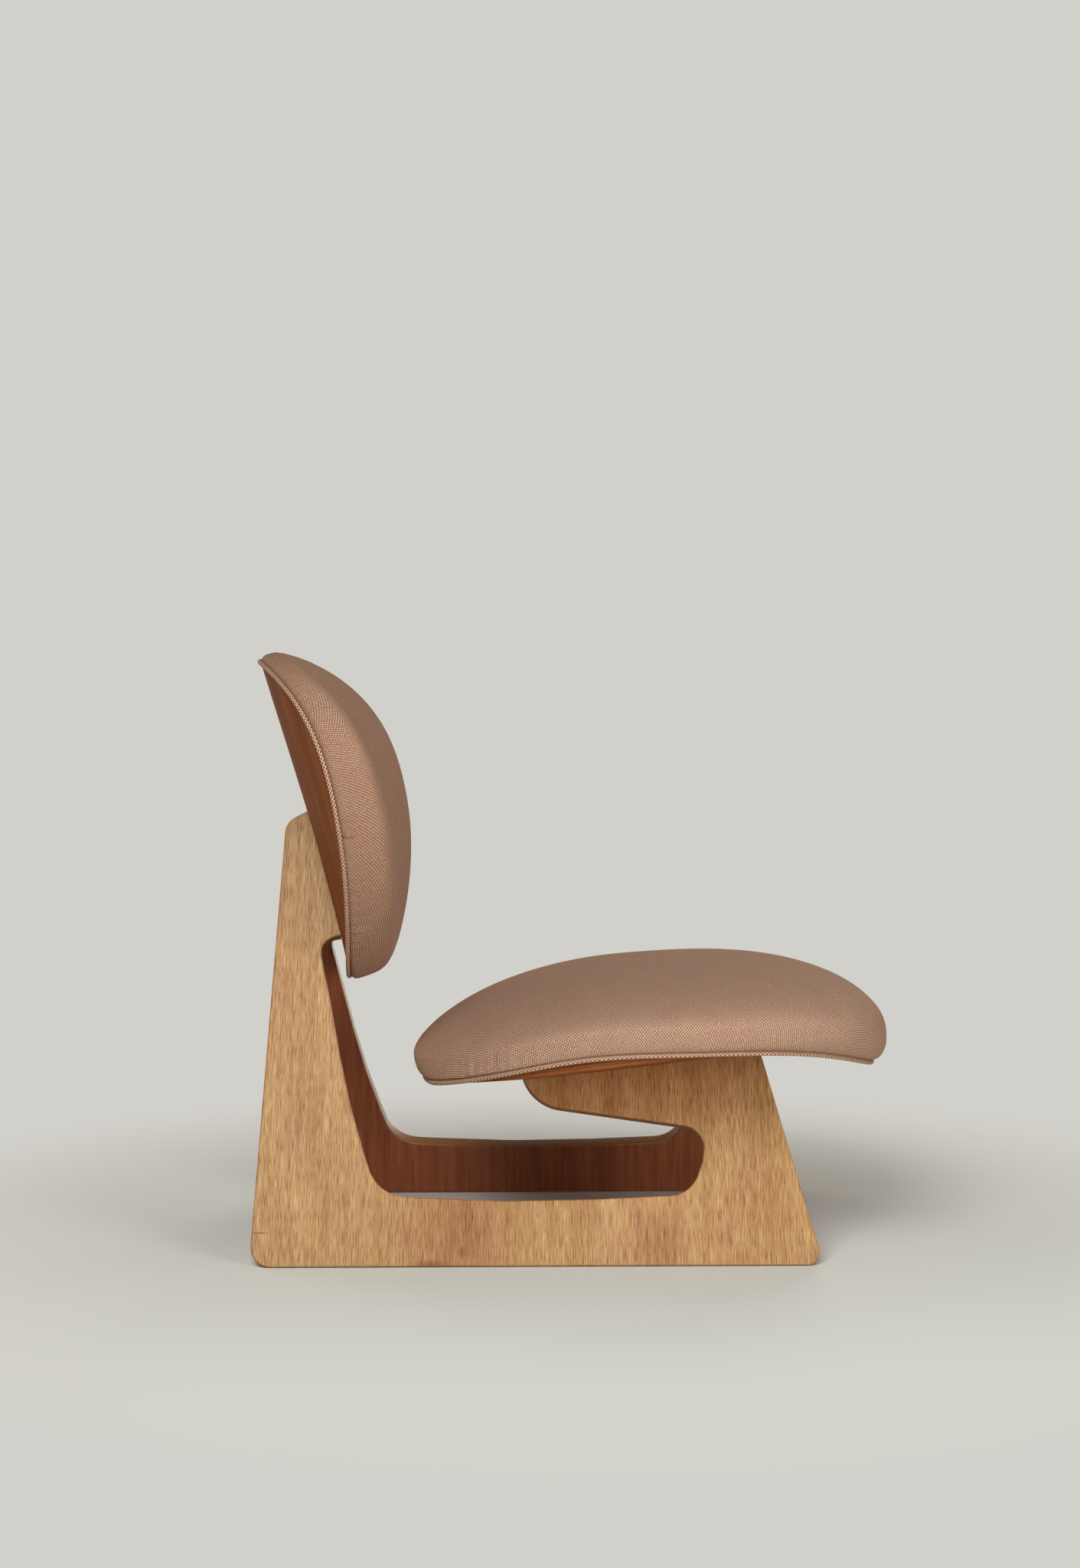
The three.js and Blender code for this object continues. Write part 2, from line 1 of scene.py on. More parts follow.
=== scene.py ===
# %% [markdown]
# # A cantilever lounge chair
# Two leaning panels of moulded plywood carry a dished seat shell on free-ended arms and a wrapped
# back shell on two posts. Each shell holds an upholstered pad with a piped edge. This lesson dresses
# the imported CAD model: the CAD stays as the frame, and what the eye sees is built or finished here.

import math

import bpy
import bmesh
import numpy as np
from mathutils import Matrix, Vector
from mathutils.geometry import tessellate_polygon
from mathutils.kdtree import KDTree


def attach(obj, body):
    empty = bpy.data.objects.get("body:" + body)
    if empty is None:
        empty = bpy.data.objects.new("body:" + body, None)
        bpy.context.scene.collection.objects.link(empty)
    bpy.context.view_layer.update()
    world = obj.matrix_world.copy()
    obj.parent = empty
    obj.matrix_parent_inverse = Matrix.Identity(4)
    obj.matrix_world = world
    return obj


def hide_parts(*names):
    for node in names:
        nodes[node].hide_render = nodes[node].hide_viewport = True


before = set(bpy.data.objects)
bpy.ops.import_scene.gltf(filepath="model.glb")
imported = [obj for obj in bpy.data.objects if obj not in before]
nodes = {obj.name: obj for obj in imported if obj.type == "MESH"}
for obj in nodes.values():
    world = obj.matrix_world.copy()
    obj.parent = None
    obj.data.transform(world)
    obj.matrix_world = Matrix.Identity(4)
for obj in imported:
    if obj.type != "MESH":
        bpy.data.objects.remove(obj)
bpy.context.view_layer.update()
scene = bpy.context.scene
scene.view_settings.view_transform = "Standard"

# %% [markdown]
# ## Sizes
# Every size is in millimetres and is the one that the CAD source uses, so a dressed piece falls
# exactly where its solid is. One factor turns millimetres into Blender's metres.

# %% Sizes shared by the pieces
MM = 0.001
GAP = 0.3
ORIGIN = np.array([0.0, 345.816, 1.2])
LEAN = math.radians(21)
RECLINE = math.radians(16.45)
FOOT_SPREAD = 400.5
PANEL = 18.0
PIPING = 2.4
WARP = 2.1
WEFT = 1.57
TINT_SIZE = 33.0
FUZZ_SIZE = 2.2
SHEET = 100.0
SEAM_PAINTED_SHADE_REACH = 3.5


def mesh_object(name, points, faces, corner_uv=None):
    """A mesh piece from points in millimetres, faces and, if given, one UV pair for each corner."""
    mesh = bpy.data.meshes.new(name)
    mesh.from_pydata((np.asarray(points, float) * MM).tolist(), [], faces)
    if corner_uv is not None:
        layer = mesh.uv_layers.new(name="UVMap")
        layer.data.foreach_set("uv", np.asarray(corner_uv, np.float32).ravel())
    mesh.polygons.foreach_set("use_smooth", np.ones(len(mesh.polygons), bool))
    mesh.update()
    piece = bpy.data.objects.new(name, mesh)
    scene.collection.objects.link(piece)
    return piece


def finished(piece, material, slot, *stands_for):
    """Gives a piece its finish, attaches it to the root body and hides the CAD nodes it stands for."""
    piece.data.materials.clear()
    piece.data.materials.append(material)
    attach(piece, "root")
    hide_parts(*stands_for)
    print(piece.name, "faces:", len(piece.data.polygons))
    return piece


# %% [markdown]
# ## Camera
# The photograph was taken from the chair's right side at about chest height with a long lens. The
# camera stands level there, and a small vertical shift puts the chair low in the tall frame.

# %% Camera at the photograph's angle
IMAGE = (1411, 2048)
FOCAL_PIXELS = 3202.2
HORIZON_PIXEL = 889.5
camera_data = bpy.data.cameras.new("camera")
camera_data.sensor_fit = "VERTICAL"
camera_data.sensor_height = 36.0
camera_data.lens = FOCAL_PIXELS / IMAGE[1] * camera_data.sensor_height
camera_data.shift_y = (HORIZON_PIXEL - IMAGE[1] / 2) / IMAGE[1]
camera_data.clip_end = 100.0
camera = bpy.data.objects.new("camera", camera_data)
scene.collection.objects.link(camera)
yaw, roll = 0.00365, -0.0034
ahead = Vector((math.cos(yaw), -math.sin(yaw), 0.0))
right = Vector((-math.sin(yaw), -math.cos(yaw), 0.0))
up = Vector((0.0, 0.0, 1.0))
right, up = right * math.cos(roll) + up * math.sin(roll), up * math.cos(roll) - right * math.sin(roll)
turn = Matrix((right, up, -ahead)).transposed()
camera.matrix_world = Matrix.Translation((-2.7945, 0.0447, 0.6205)) @ turn.to_4x4()
scene.camera = camera
print("lens:", round(camera_data.lens, 2), "mm, shift:", round(camera_data.shift_y, 4))

# %% [markdown]
# ## Node helper and colours
# Paint charts give colours in sRGB. Blender's sockets expect linear light, so one function turns
# hex values into linear ones. Another adds a shader node with its settings and links.


# %% Helpers for materials
def linear(hex_code):
    """A linear RGBA colour from an sRGB hex value."""
    channels = [int(hex_code[i:i + 2], 16) / 255 for i in (1, 3, 5)]
    return [c / 12.92 if c <= 0.04045 else ((c + 0.055) / 1.055) ** 2.4 for c in channels] + [1.0]


def add(tree, kind, inputs=(), **settings):
    """Adds a node. Inputs are (socket, value) pairs, where a value may be another node's output."""
    made = tree.nodes.new(kind)
    for name, value in settings.items():
        setattr(made, name, value)
    for socket, value in inputs:
        if isinstance(value, bpy.types.NodeSocket):
            tree.links.new(value, made.inputs[socket])
        else:
            made.inputs[socket].default_value = value
    return made


def new_material(name):
    """A material with a bare Principled shader, and the parts to fill in."""
    material = bpy.data.materials.new(name)
    material.use_nodes = True
    tree = material.node_tree
    return material, tree, tree.nodes["Principled BSDF"]


def ramp(tree, value, stops):
    """A colour ramp through (place, hex colour) stops."""
    made = add(tree, "ShaderNodeValToRGB", [("Fac", value)])
    elements = made.color_ramp.elements
    elements[0].position, elements[0].color = stops[0][0], linear(stops[0][1])
    elements[1].position, elements[1].color = stops[-1][0], linear(stops[-1][1])
    for place, colour in stops[1:-1]:
        elements.new(place).color = linear(colour)
    return made.outputs["Color"]


def blend(tree, factor, a, b, kind="MIX"):
    """A colour mix of two colours or outputs."""
    made = tree.nodes.new("ShaderNodeMix")
    made.data_type, made.blend_type = "RGBA", kind
    for socket, value in ((0, factor), (6, a), (7, b)):
        if isinstance(value, bpy.types.NodeSocket):
            tree.links.new(value, made.inputs[socket])
        else:
            made.inputs[socket].default_value = value
    return made.outputs[2]


# %% [markdown]
# ## Studio
# A wide pale floor and an even pale sky keep the view plain from every side, and the floor's far
# parts fade to the sky's colour, so no horizon cuts the picture. In the photograph the sides of the
# cushions are brighter than their tops, and the seat's nose is as bright as its side. So a large
# soft lamp stands on the camera's side a little above the chair, a second one lights the nose, and
# two weaker warm ones keep the far side and the back clear. The far one stands low, so that it
# reaches the side without lifting the tops.

# %% Floor, sky and lamps
PALE = linear("#d2d0ca")


def seen_directly(tree):
    """One for rays that show the backdrop itself, zero for rays that gather its light."""
    path = add(tree, "ShaderNodeLightPath")
    share = path.outputs["Is Camera Ray"]
    for ray in ("Is Glossy Ray", "Is Transmission Ray"):
        share = add(tree, "ShaderNodeMath", [(0, share), (1, path.outputs[ray])], operation="MAXIMUM").outputs[0]
    return share


floor_mesh = bpy.data.meshes.new("floor")
disc = bmesh.new()
bmesh.ops.create_circle(disc, cap_ends=True, segments=96, radius=30.0)
disc.to_mesh(floor_mesh)
disc.free()
floor = bpy.data.objects.new("floor", floor_mesh)
scene.collection.objects.link(floor)
floor_paint, tree, shader = new_material("matt painted floor")
shader.inputs["Base Color"].default_value = linear("#d8d5ce")
shader.inputs["Roughness"].default_value = 0.85
spot = add(tree, "ShaderNodeTexCoord")
reach = add(tree, "ShaderNodeVectorMath", [(0, spot.outputs["Object"])], operation="LENGTH")
far = add(tree, "ShaderNodeMapRange", [("Value", reach.outputs["Value"]), ("From Min", 0.3), ("From Max", 1.0)],
          interpolation_type="SMOOTHSTEP")
share = add(tree, "ShaderNodeMath", [(0, far.outputs["Result"]), (1, seen_directly(tree))], operation="MULTIPLY")
glow = add(tree, "ShaderNodeEmission", [("Color", PALE)])
paint = add(tree, "ShaderNodeMixShader", [(0, share.outputs[0]), (1, shader.outputs[0]), (2, glow.outputs[0])])
tree.links.new(paint.outputs[0], tree.nodes["Material Output"].inputs["Surface"])
floor_mesh.materials.append(floor_paint)

world = bpy.data.worlds.new("studio sky")
scene.world = world
world.use_nodes = True
tree = world.node_tree
tree.nodes.clear()
sky_light = add(tree, "ShaderNodeBackground", [("Color", linear("#fff1dc")), ("Strength", 0.06)])
sky_seen = add(tree, "ShaderNodeBackground", [("Color", PALE), ("Strength", 1.0)])
sky = add(tree, "ShaderNodeMixShader", [(0, seen_directly(tree)), (1, sky_light.outputs[0]),
                                        (2, sky_seen.outputs[0])])
add(tree, "ShaderNodeOutputWorld", [("Surface", sky.outputs[0])])


def soft_lamp(name, place, size, watts, tint="#ffffff"):
    """A square area lamp that points at the chair's middle."""
    data = bpy.data.lights.new(name, "AREA")
    data.shape = "SQUARE"
    data.size = size
    data.energy = watts
    data.color = linear(tint)[:3]
    lamp = bpy.data.objects.new(name, data)
    lamp.visible_camera = False
    scene.collection.objects.link(lamp)
    aim = Vector((0.0, 0.0, 0.35)) - Vector(place)
    lamp.matrix_world = Matrix.Translation(place) @ aim.to_track_quat("-Z", "Y").to_matrix().to_4x4()
    return lamp


soft_lamp("key", (-2.0, 0.55, 1.75), 1.2, 52.0, "#f8ffff")
soft_lamp("nose", (-1.95, -1.4, 0.6), 0.9, 31.0, "#f8ffff")
soft_lamp("far side", (2.35, -0.75, 0.65), 1.4, 25.0, "#fffaf0")
soft_lamp("rear", (1.5, 2.2, 1.15), 1.6, 15.0, "#fff4e2")

# %% [markdown]
# ## The two pads
# Seat and back are the same kind of thing: an oval plywood shell, a piping that follows its rim and
# a crowned cushion. So both come from one set of formulas, which give the shell's face, the rim and
# the cushion's rings in the pad's own axes: x across, y along and z out of the upholstered face.


# %% Oval pad formulas
def fuller(value, power):
    """A signed power, which squares an ellipse up into a fuller oval."""
    return np.sign(value) * np.abs(value) ** (2 / power)


def formed(side=0.0, slope=0.0, bow=0.0, curl=0.0, end=0.0, flare=0.0):
    """Height over the middle of an oval form, from shares across x and along y."""
    return lambda x, y: (side * x ** 2 + slope * y + bow * y ** 2 + curl * y ** 3 + end * y ** 4
                         + flare * y * x ** 2)


class Pad:
    inset = 5.0
    board_share = 0.88
    board = 4.0
    rear_tuck = 0.0

    def __init__(self, **sizes):
        self.__dict__.update(sizes)
        self.halves = np.array([self.width, self.length]) / 2

    def at(self, angle, across, along, drawn=1.0):
        """Places on an oval. The rim's rear end is drawn in under the cushion by a share of rear_tuck."""
        y = along * fuller(np.sin(angle), self.oval_power)
        x = across * fuller(np.cos(angle), self.oval_power) * (1 + self.taper * y / self.halves[1])
        end = np.clip((y / self.halves[1] - 0.86) / 0.14, 0, 1)
        return x, y - drawn * self.rear_tuck * end ** 2 * (3 - 2 * end)

    def face(self, x, y):
        return self.shell_form(x / self.halves[0], y / self.halves[1])

    def piping_level(self, x, y):
        place = (y / self.halves[1] - self.lift_place) / self.lift_reach
        return self.face(x, y) + self.piping_lift - self.piping_fall * (1 - np.exp(-place ** 2))

    def ring(self, angle, across, along, level):
        x, y = self.at(angle, across, along)
        return np.stack([x, y, level(x, y) * np.ones_like(x)], 1)

    def placed(self, points):
        return np.asarray(points) @ self.turn.T + self.middle + ORIGIN


seat = Pad(
    name="seat", rear_tuck=12.0, length=516.0, width=550.0, oval_power=2.35, taper=0.0, thickness=10.0,
    shell_form=formed(side=30.2, slope=-31.5, curl=22.8, end=-11.0),
    piping_lift=1.4, piping_fall=13.1, lift_place=0.27, lift_reach=0.44,
    overhang=8.3, nose_overhang=8.1, waist=23.2, crown=67.8,
    crown_form=formed(slope=-19.6, bow=-6.5), plan_power=2.63, rise_power=1.98,
    nose_plan=-0.159, nose_rise=0.345, gather_depth=0.4,
    gather_places=[(math.radians(place), 0.35) for place in (42, 138, 222, 318)],
    turn=np.eye(3), middle=np.array([0.0, -425.0, 205.7]))
tilt = math.pi / 2 - RECLINE
back = Pad(
    name="back", length=371.0, width=450.0, oval_power=2.26, taper=0.23, thickness=9.0,
    shell_form=formed(side=48.8, bow=-4.9, curl=2.7, flare=1.5),
    piping_lift=-9.9, piping_fall=0.0, lift_place=0.0, lift_reach=1.0,
    overhang=5.1, nose_overhang=0.0, waist=8.0, crown=49.7,
    crown_form=formed(side=54.7, slope=-15.0, bow=-18.5, curl=2.7), plan_power=3.76, rise_power=3.94,
    nose_plan=0.0, nose_rise=0.0, gather_depth=0.35,
    gather_places=[(math.radians(place), 0.45) for place in (35, 145, 222, 318)],
    turn=np.array([[1, 0, 0], [0, math.cos(tilt), -math.sin(tilt)], [0, math.sin(tilt), math.cos(tilt)]]),
    middle=np.array([0.0, -58.7, 468.5]))
print("pads:", [(pad.name, pad.length, pad.width) for pad in (seat, back)])


# %% A skin through rings
def skin(rings, first_pole, last_pole):
    """Points and faces of a closed skin that runs from one pole through equal rings to the other."""
    rings = np.asarray(rings)
    count = rings.shape[1]
    points = np.concatenate([rings.reshape(-1, 3), [first_pole], [last_pole]])
    here = np.arange(count)
    on = (here + 1) % count
    faces = []
    for r in range(len(rings) - 1):
        a, b = r * count, (r + 1) * count
        faces += np.stack([a + here, a + on, b + on, b + here], 1).tolist()
    first, last, top = len(points) - 2, len(points) - 1, (len(rings) - 1) * count
    faces += [[first, int(n), int(h)] for h, n in zip(here, on)]
    faces += [[top + int(h), top + int(n), last] for h, n in zip(here, on)]
    return points, faces


def even_angles(count):
    return np.linspace(0, 2 * np.pi, count, endpoint=False)


# %% [markdown]
# ## Moulded shells
# Each shell is a thin sheet of veneers pressed in a mould, with a softly rounded edge. A lofted skin
# from the middle of the hidden face, round the edge and back to the middle gives both faces and the
# edge in one closed piece, far smoother than the CAD's facets. Its UV map holds the place across the
# thickness, so that the plies can show on the edge.

# %% Shell skins
SHELL_EDGE = 2.5


def shell_rings(pad, angle):
    across, along = pad.halves - pad.inset
    shares = np.linspace(0.04, 0.97, 26)
    rings, depths = [], []
    for share in shares:
        rings.append(pad.ring(angle, across * share, along * share, lambda x, y: pad.face(x, y) - pad.thickness))
        depths.append(pad.thickness)
    for side in (-1, 1):
        for bend in np.linspace(0, math.pi / 2, 6):
            part = bend if side < 0 else math.pi / 2 - bend
            cut = SHELL_EDGE * (1 - math.sin(part))
            drop = SHELL_EDGE * (1 - math.cos(part))
            depth = pad.thickness - drop if side < 0 else drop
            rings.append(pad.ring(angle, across - cut, along - cut, lambda x, y: pad.face(x, y) - depth))
            depths.append(depth)
    for share in shares[::-1]:
        rings.append(pad.ring(angle, across * share, along * share, pad.face))
        depths.append(0.0)
    return np.array(rings), np.array(depths)


def shell_piece(pad):
    angle = even_angles(240)
    rings, depths = shell_rings(pad, angle)
    points, faces = skin(rings, [0, 0, -pad.thickness], [0, 0, 0])
    depth = np.concatenate([np.repeat(depths, len(angle)), [pad.thickness, 0]])
    corners = np.concatenate([np.array(face) for face in faces])
    uv = np.stack([depth[corners], points[corners, 0]], 1) / SHEET
    return mesh_object(pad.name + "_shell_moulded", pad.placed(points), faces, uv)


seat_shell = shell_piece(seat)
back_shell = shell_piece(back)
print("shell faces:", len(seat_shell.data.polygons), len(back_shell.data.polygons))


# %% [markdown]
# ## Side panels
# Each panel is sawn from an 18 mm moulded board: a rear post, a floor rail, a front leg and an arm
# that ends free, all in one outline with soft corners. The outline's corners are rounded by arcs,
# the rims are rolled over by a small radius, and the shells and the floor then trim the board where
# it meets them.

# %% Outline of a panel
def tilt_of(degrees):
    return math.tan(math.radians(degrees))


FOOT_LENGTH = 609.5
ARM_BLANK = 237.2 / math.cos(LEAN)
POST_RAKE = tilt_of(2.7)
NECK_HEIGHT, NECK_WIDTH, POST_HEIGHT, POST_BLANK = 358.0, 47.0, 494.5, 52.0
NECK_FORWARD = NECK_HEIGHT * POST_RAKE + NECK_WIDTH
POST_FORWARD = POST_HEIGHT * POST_RAKE
PANEL_CORNERS = [
    (0, 0, 22), (FOOT_LENGTH, 0, 14), (FOOT_LENGTH - ARM_BLANK * tilt_of(14.5), ARM_BLANK, 0),
    (288, ARM_BLANK, 0), (288, 174.5, 50), (488.5, 145, 25), (484, 111.5, 37), (471, 75, 34),
    (276, 66, 1680), (134.5, 76, 44), (173 * POST_RAKE + 93.5, 173, 870),
    (NECK_FORWARD, NECK_HEIGHT, 20), (NECK_FORWARD + POST_BLANK, NECK_HEIGHT + POST_BLANK * tilt_of(8), 0),
    (POST_FORWARD + POST_BLANK, POST_HEIGHT + POST_BLANK * tilt_of(27), 0), (POST_FORWARD, POST_HEIGHT, 21)]


def rounded(corners, step):
    """The outline's points, with each corner rounded by an arc of its own radius."""
    points = []
    for i, (x, y, radius) in enumerate(corners):
        corner = np.array([x, y], float)
        back_way = np.array(corners[i - 1][:2]) - corner
        on_way = np.array(corners[(i + 1) % len(corners)][:2]) - corner
        back_way, on_way = back_way / np.hypot(*back_way), on_way / np.hypot(*on_way)
        if not radius:
            points.append(corner)
            continue
        half = math.acos(np.clip(back_way @ on_way, -1, 1)) / 2
        middle = (back_way + on_way) / np.hypot(*(back_way + on_way))
        centre = corner + middle * radius / math.sin(half)
        first = corner + back_way * radius / math.tan(half) - centre
        swing = np.sign(back_way[0] * on_way[1] - back_way[1] * on_way[0]) * (math.pi - 2 * half)
        steps = max(2, math.ceil(abs(swing) / step))
        for k in range(steps + 1):
            a = -swing * k / steps
            points.append(centre + [first[0] * math.cos(a) - first[1] * math.sin(a),
                                    first[0] * math.sin(a) + first[1] * math.cos(a)])
    return np.array(points)


def split_long(points, longest):
    """The same outline with its long straight runs split, so that later cuts stay tidy."""
    out = []
    for a, b in zip(points, np.roll(points, -1, axis=0)):
        parts = max(1, math.ceil(np.hypot(*(b - a)) / longest))
        out += [a + (b - a) * k / parts for k in range(parts)]
    return np.array(out)


outline = split_long(rounded(PANEL_CORNERS, math.radians(4)), 25)
print("outline points:", len(outline))


# %% Board with rolled rims
def inward(points, distance):
    """The outline moved inwards, along the mean of the two runs' normals at each point."""
    run = np.roll(points, -1, axis=0) - points
    run /= np.hypot(run[:, 0], run[:, 1])[:, None]
    normal = np.stack([-run[:, 1], run[:, 0]], 1)
    before = np.roll(normal, 1, axis=0)
    mean = normal + before
    mean /= (1 + (normal * before).sum(1))[:, None]
    return points + mean * distance


RIM = 2.2
rim_steps = np.linspace(0, math.pi / 2, 6)
sections = [(RIM + 0.5, 0.0)]
sections += [(RIM * (1 - math.sin(a)), RIM * (1 - math.cos(a))) for a in rim_steps]
sections += [(RIM * (1 - math.cos(a)), PANEL - RIM * (1 - math.sin(a))) for a in rim_steps]
sections += [(RIM + 0.5, PANEL)]


def panel_board(side):
    """The untrimmed board. Its outer face is the plane that leans in from the foot."""
    forward_way = np.array([0.0, -1.0, 0.0])
    up_way = np.array([-side * math.sin(LEAN), 0.0, math.cos(LEAN)])
    in_way = np.array([-side * math.cos(LEAN), 0.0, -math.sin(LEAN)])
    foot = np.array([side * FOOT_SPREAD / 2, 0.0, 0.0]) + ORIGIN
    count = len(outline)
    points, faces = [], []
    for cut, depth in sections:
        flat = inward(outline, cut)
        points.append(foot + flat[:, :1] * forward_way + flat[:, 1:] * up_way + depth * in_way)
    points = np.concatenate(points)
    for r in range(len(sections) - 1):
        a, b = r * count, (r + 1) * count
        for j in range(count):
            n = (j + 1) % count
            faces.append([a + j, a + n, b + n, b + j])
    flat = [Vector((x, y, 0)) for x, y in inward(outline, sections[0][0])]
    last = (len(sections) - 1) * count
    for tri in tessellate_polygon([flat]):
        faces.append(list(tri))
        faces.append([last + v for v in reversed(tri)])
    board = mesh_object("board", points, faces)
    work = bmesh.new()
    work.from_mesh(board.data)
    bmesh.ops.recalc_face_normals(work, faces=work.faces)
    work.to_mesh(board.data)
    work.free()
    return board


# %% Trim the boards to the shells and the floor
def trim_solid(pad):
    """A thick slab over the shell's hidden face, to cut away what the shell covers."""
    angle = even_angles(120)
    across, along = pad.halves - pad.inset
    low = lambda x, y: pad.face(x, y) - pad.thickness - GAP
    high = lambda x, y: low(x, y) + 120
    shares = np.linspace(0.05, 1, 16)
    rings = [pad.ring(angle, across * s, along * s, low) for s in shares]
    rings += [pad.ring(angle, across * s, along * s, high) for s in shares[::-1]]
    points, faces = skin(rings, [0, 0, low(0, 0)], [0, 0, high(0, 0)])
    return mesh_object("trim", pad.placed(points), faces)


def floor_block():
    half = np.array([300.0, 500.0])
    corners = [(-1, -1), (1, -1), (1, 1), (-1, 1)]
    points = [(half[0] * x, half[1] * y, z) for z in (-100, ORIGIN[2]) for x, y in corners]
    faces = [[3, 2, 1, 0], [4, 5, 6, 7], [0, 1, 5, 4], [1, 2, 6, 5], [2, 3, 7, 6], [3, 0, 4, 7]]
    return mesh_object("floor_block", points, faces)


def cut_away(piece, tools):
    """Cuts solids out of a piece and keeps the result as a plain mesh."""
    for tool in tools:
        cut = piece.modifiers.new("cut", "BOOLEAN")
        cut.operation, cut.solver, cut.object = "DIFFERENCE", "EXACT", tool
    shape = bpy.data.meshes.new_from_object(piece.evaluated_get(bpy.context.evaluated_depsgraph_get()))
    piece.modifiers.clear()
    piece.data = shape
    shape.set_sharp_from_angle(angle=math.radians(32))
    return piece


trims = [trim_solid(seat), trim_solid(back), floor_block()]
panels = {}
for word, side in (("left", 1), ("right", -1)):
    board = panel_board(side)
    bpy.context.view_layer.update()
    panels[word] = cut_away(board, trims)
    panels[word].name = "side_panel_" + word + "_sawn"
    print(panels[word].name, "faces:", len(panels[word].data.polygons))
for tool in trims:
    bpy.data.objects.remove(tool)

# %% [markdown]
# ## Piping
# The piping is a cord wrapped in a bias strip of the cover cloth and sewn into the seam round each
# cushion. It follows the rim, so Geometry Nodes sweep a circle along the rim's curve, and store the
# place along and around the cord for the slanted weave of the bias strip.


# %% Curve round a pad
def rim_curve(pad, name, grow, lift):
    """A closed curve that follows the pad's rim, moved out by grow and up by lift."""
    across, along = pad.halves + grow
    ring = pad.placed(pad.ring(even_angles(720), across, along, lambda x, y: pad.piping_level(x, y) + lift))
    data = bpy.data.curves.new(name, "CURVE")
    data.dimensions = "3D"
    spline = data.splines.new("POLY")
    spline.points.add(len(ring) - 1)
    spline.points.foreach_set("co", np.column_stack([ring * MM, np.ones(len(ring))]).ravel())
    spline.use_cyclic_u = True
    curve = bpy.data.objects.new(name, data)
    scene.collection.objects.link(curve)
    return curve


# %% Geometry Nodes for a cord along a curve
def node_group(name, sizes):
    """An empty Geometry Nodes group with named inputs."""
    group = bpy.data.node_groups.new(name, "GeometryNodeTree")
    group.interface.new_socket("Geometry", in_out="INPUT", socket_type="NodeSocketGeometry")
    for label, kind in sizes:
        group.interface.new_socket(label, in_out="INPUT", socket_type=kind)
    group.interface.new_socket("Geometry", in_out="OUTPUT", socket_type="NodeSocketGeometry")
    return group, group.nodes.new("NodeGroupInput"), group.nodes.new("NodeGroupOutput")


def grown(source, group, values, name):
    """Runs a node group on an object and returns the result as a plain mesh piece."""
    modifier = source.modifiers.new(group.name, "NODES")
    modifier.node_group = group
    for item in group.interface.items_tree:
        if item.in_out == "INPUT" and item.name in values:
            modifier[item.identifier] = values[item.name]
    mesh = bpy.data.meshes.new_from_object(source.evaluated_get(bpy.context.evaluated_depsgraph_get()))
    mesh.name = name
    bpy.data.objects.remove(source)
    piece = bpy.data.objects.new(name, mesh)
    scene.collection.objects.link(piece)
    return piece


cord_nodes, start, end = node_group("piping cord", [
    ("Radius", "NodeSocketFloat"), ("Steps", "NodeSocketInt"), ("Sides", "NodeSocketInt"),
    ("Cloth", "NodeSocketMaterial")])
even = add(cord_nodes, "GeometryNodeResampleCurve", [
    ("Curve", start.outputs["Geometry"]), ("Count", start.outputs["Steps"])])
place = add(cord_nodes, "GeometryNodeSplineParameter")
along = add(cord_nodes, "GeometryNodeCaptureAttribute", [("Geometry", even.outputs["Curve"])])
along.capture_items.new("FLOAT", "along")
cord_nodes.links.new(place.outputs["Length"], along.inputs["along"])
ring = add(cord_nodes, "GeometryNodeCurvePrimitiveCircle", [
    ("Resolution", start.outputs["Sides"]), ("Radius", start.outputs["Radius"])])
ring_place = add(cord_nodes, "GeometryNodeSplineParameter")
around = add(cord_nodes, "GeometryNodeCaptureAttribute", [("Geometry", ring.outputs["Curve"])])
around.capture_items.new("FLOAT", "around")
cord_nodes.links.new(ring_place.outputs["Length"], around.inputs["around"])
sweep = add(cord_nodes, "GeometryNodeCurveToMesh", [
    ("Curve", along.outputs["Geometry"]), ("Profile Curve", around.outputs["Geometry"])])
smooth = add(cord_nodes, "GeometryNodeSetShadeSmooth", [("Geometry", sweep.outputs["Mesh"])])
store_along = add(cord_nodes, "GeometryNodeStoreNamedAttribute", [
    ("Geometry", smooth.outputs["Geometry"]), ("Name", "along"), ("Value", along.outputs["along"])])
store_around = add(cord_nodes, "GeometryNodeStoreNamedAttribute", [
    ("Geometry", store_along.outputs["Geometry"]), ("Name", "around"), ("Value", around.outputs["around"])])
real = add(cord_nodes, "GeometryNodeRealizeInstances", [("Geometry", store_around.outputs["Geometry"])])
dressed = add(cord_nodes, "GeometryNodeSetMaterial", [
    ("Geometry", real.outputs["Geometry"]), ("Material", start.outputs["Cloth"])])
cord_nodes.links.new(dressed.outputs["Geometry"], end.inputs["Geometry"])
print("piping nodes:", len(cord_nodes.nodes))

# %% [markdown]
# ## Cover cloth
# The covers are a plain weave of thick two-tone yarn, wool with a little sheen from its loose fibres.
# The weft is packed closer than the warp: where the pale yarn is on top it makes a raised nub, and where
# the darker yarn is on top it sinks back. The product of two sines has just that pattern of hills
# and hollows, and it reads the UV map, so the rows follow the cushion's form.


# %% Woven cover
def weave(tree, u, v, pitches):
    """Height of a plain weave from places u and v in millimetres: 1 on a pale nub, -1 in a hollow."""
    waves = []
    for place, pitch in zip((u, v), pitches):
        phase = add(tree, "ShaderNodeMath", [(0, place), (1, math.pi / pitch)], operation="MULTIPLY")
        waves.append(add(tree, "ShaderNodeMath", [(0, phase.outputs[0])], operation="SINE").outputs[0])
    return add(tree, "ShaderNodeMath", [(0, waves[0]), (1, waves[1])], operation="MULTIPLY").outputs[0]


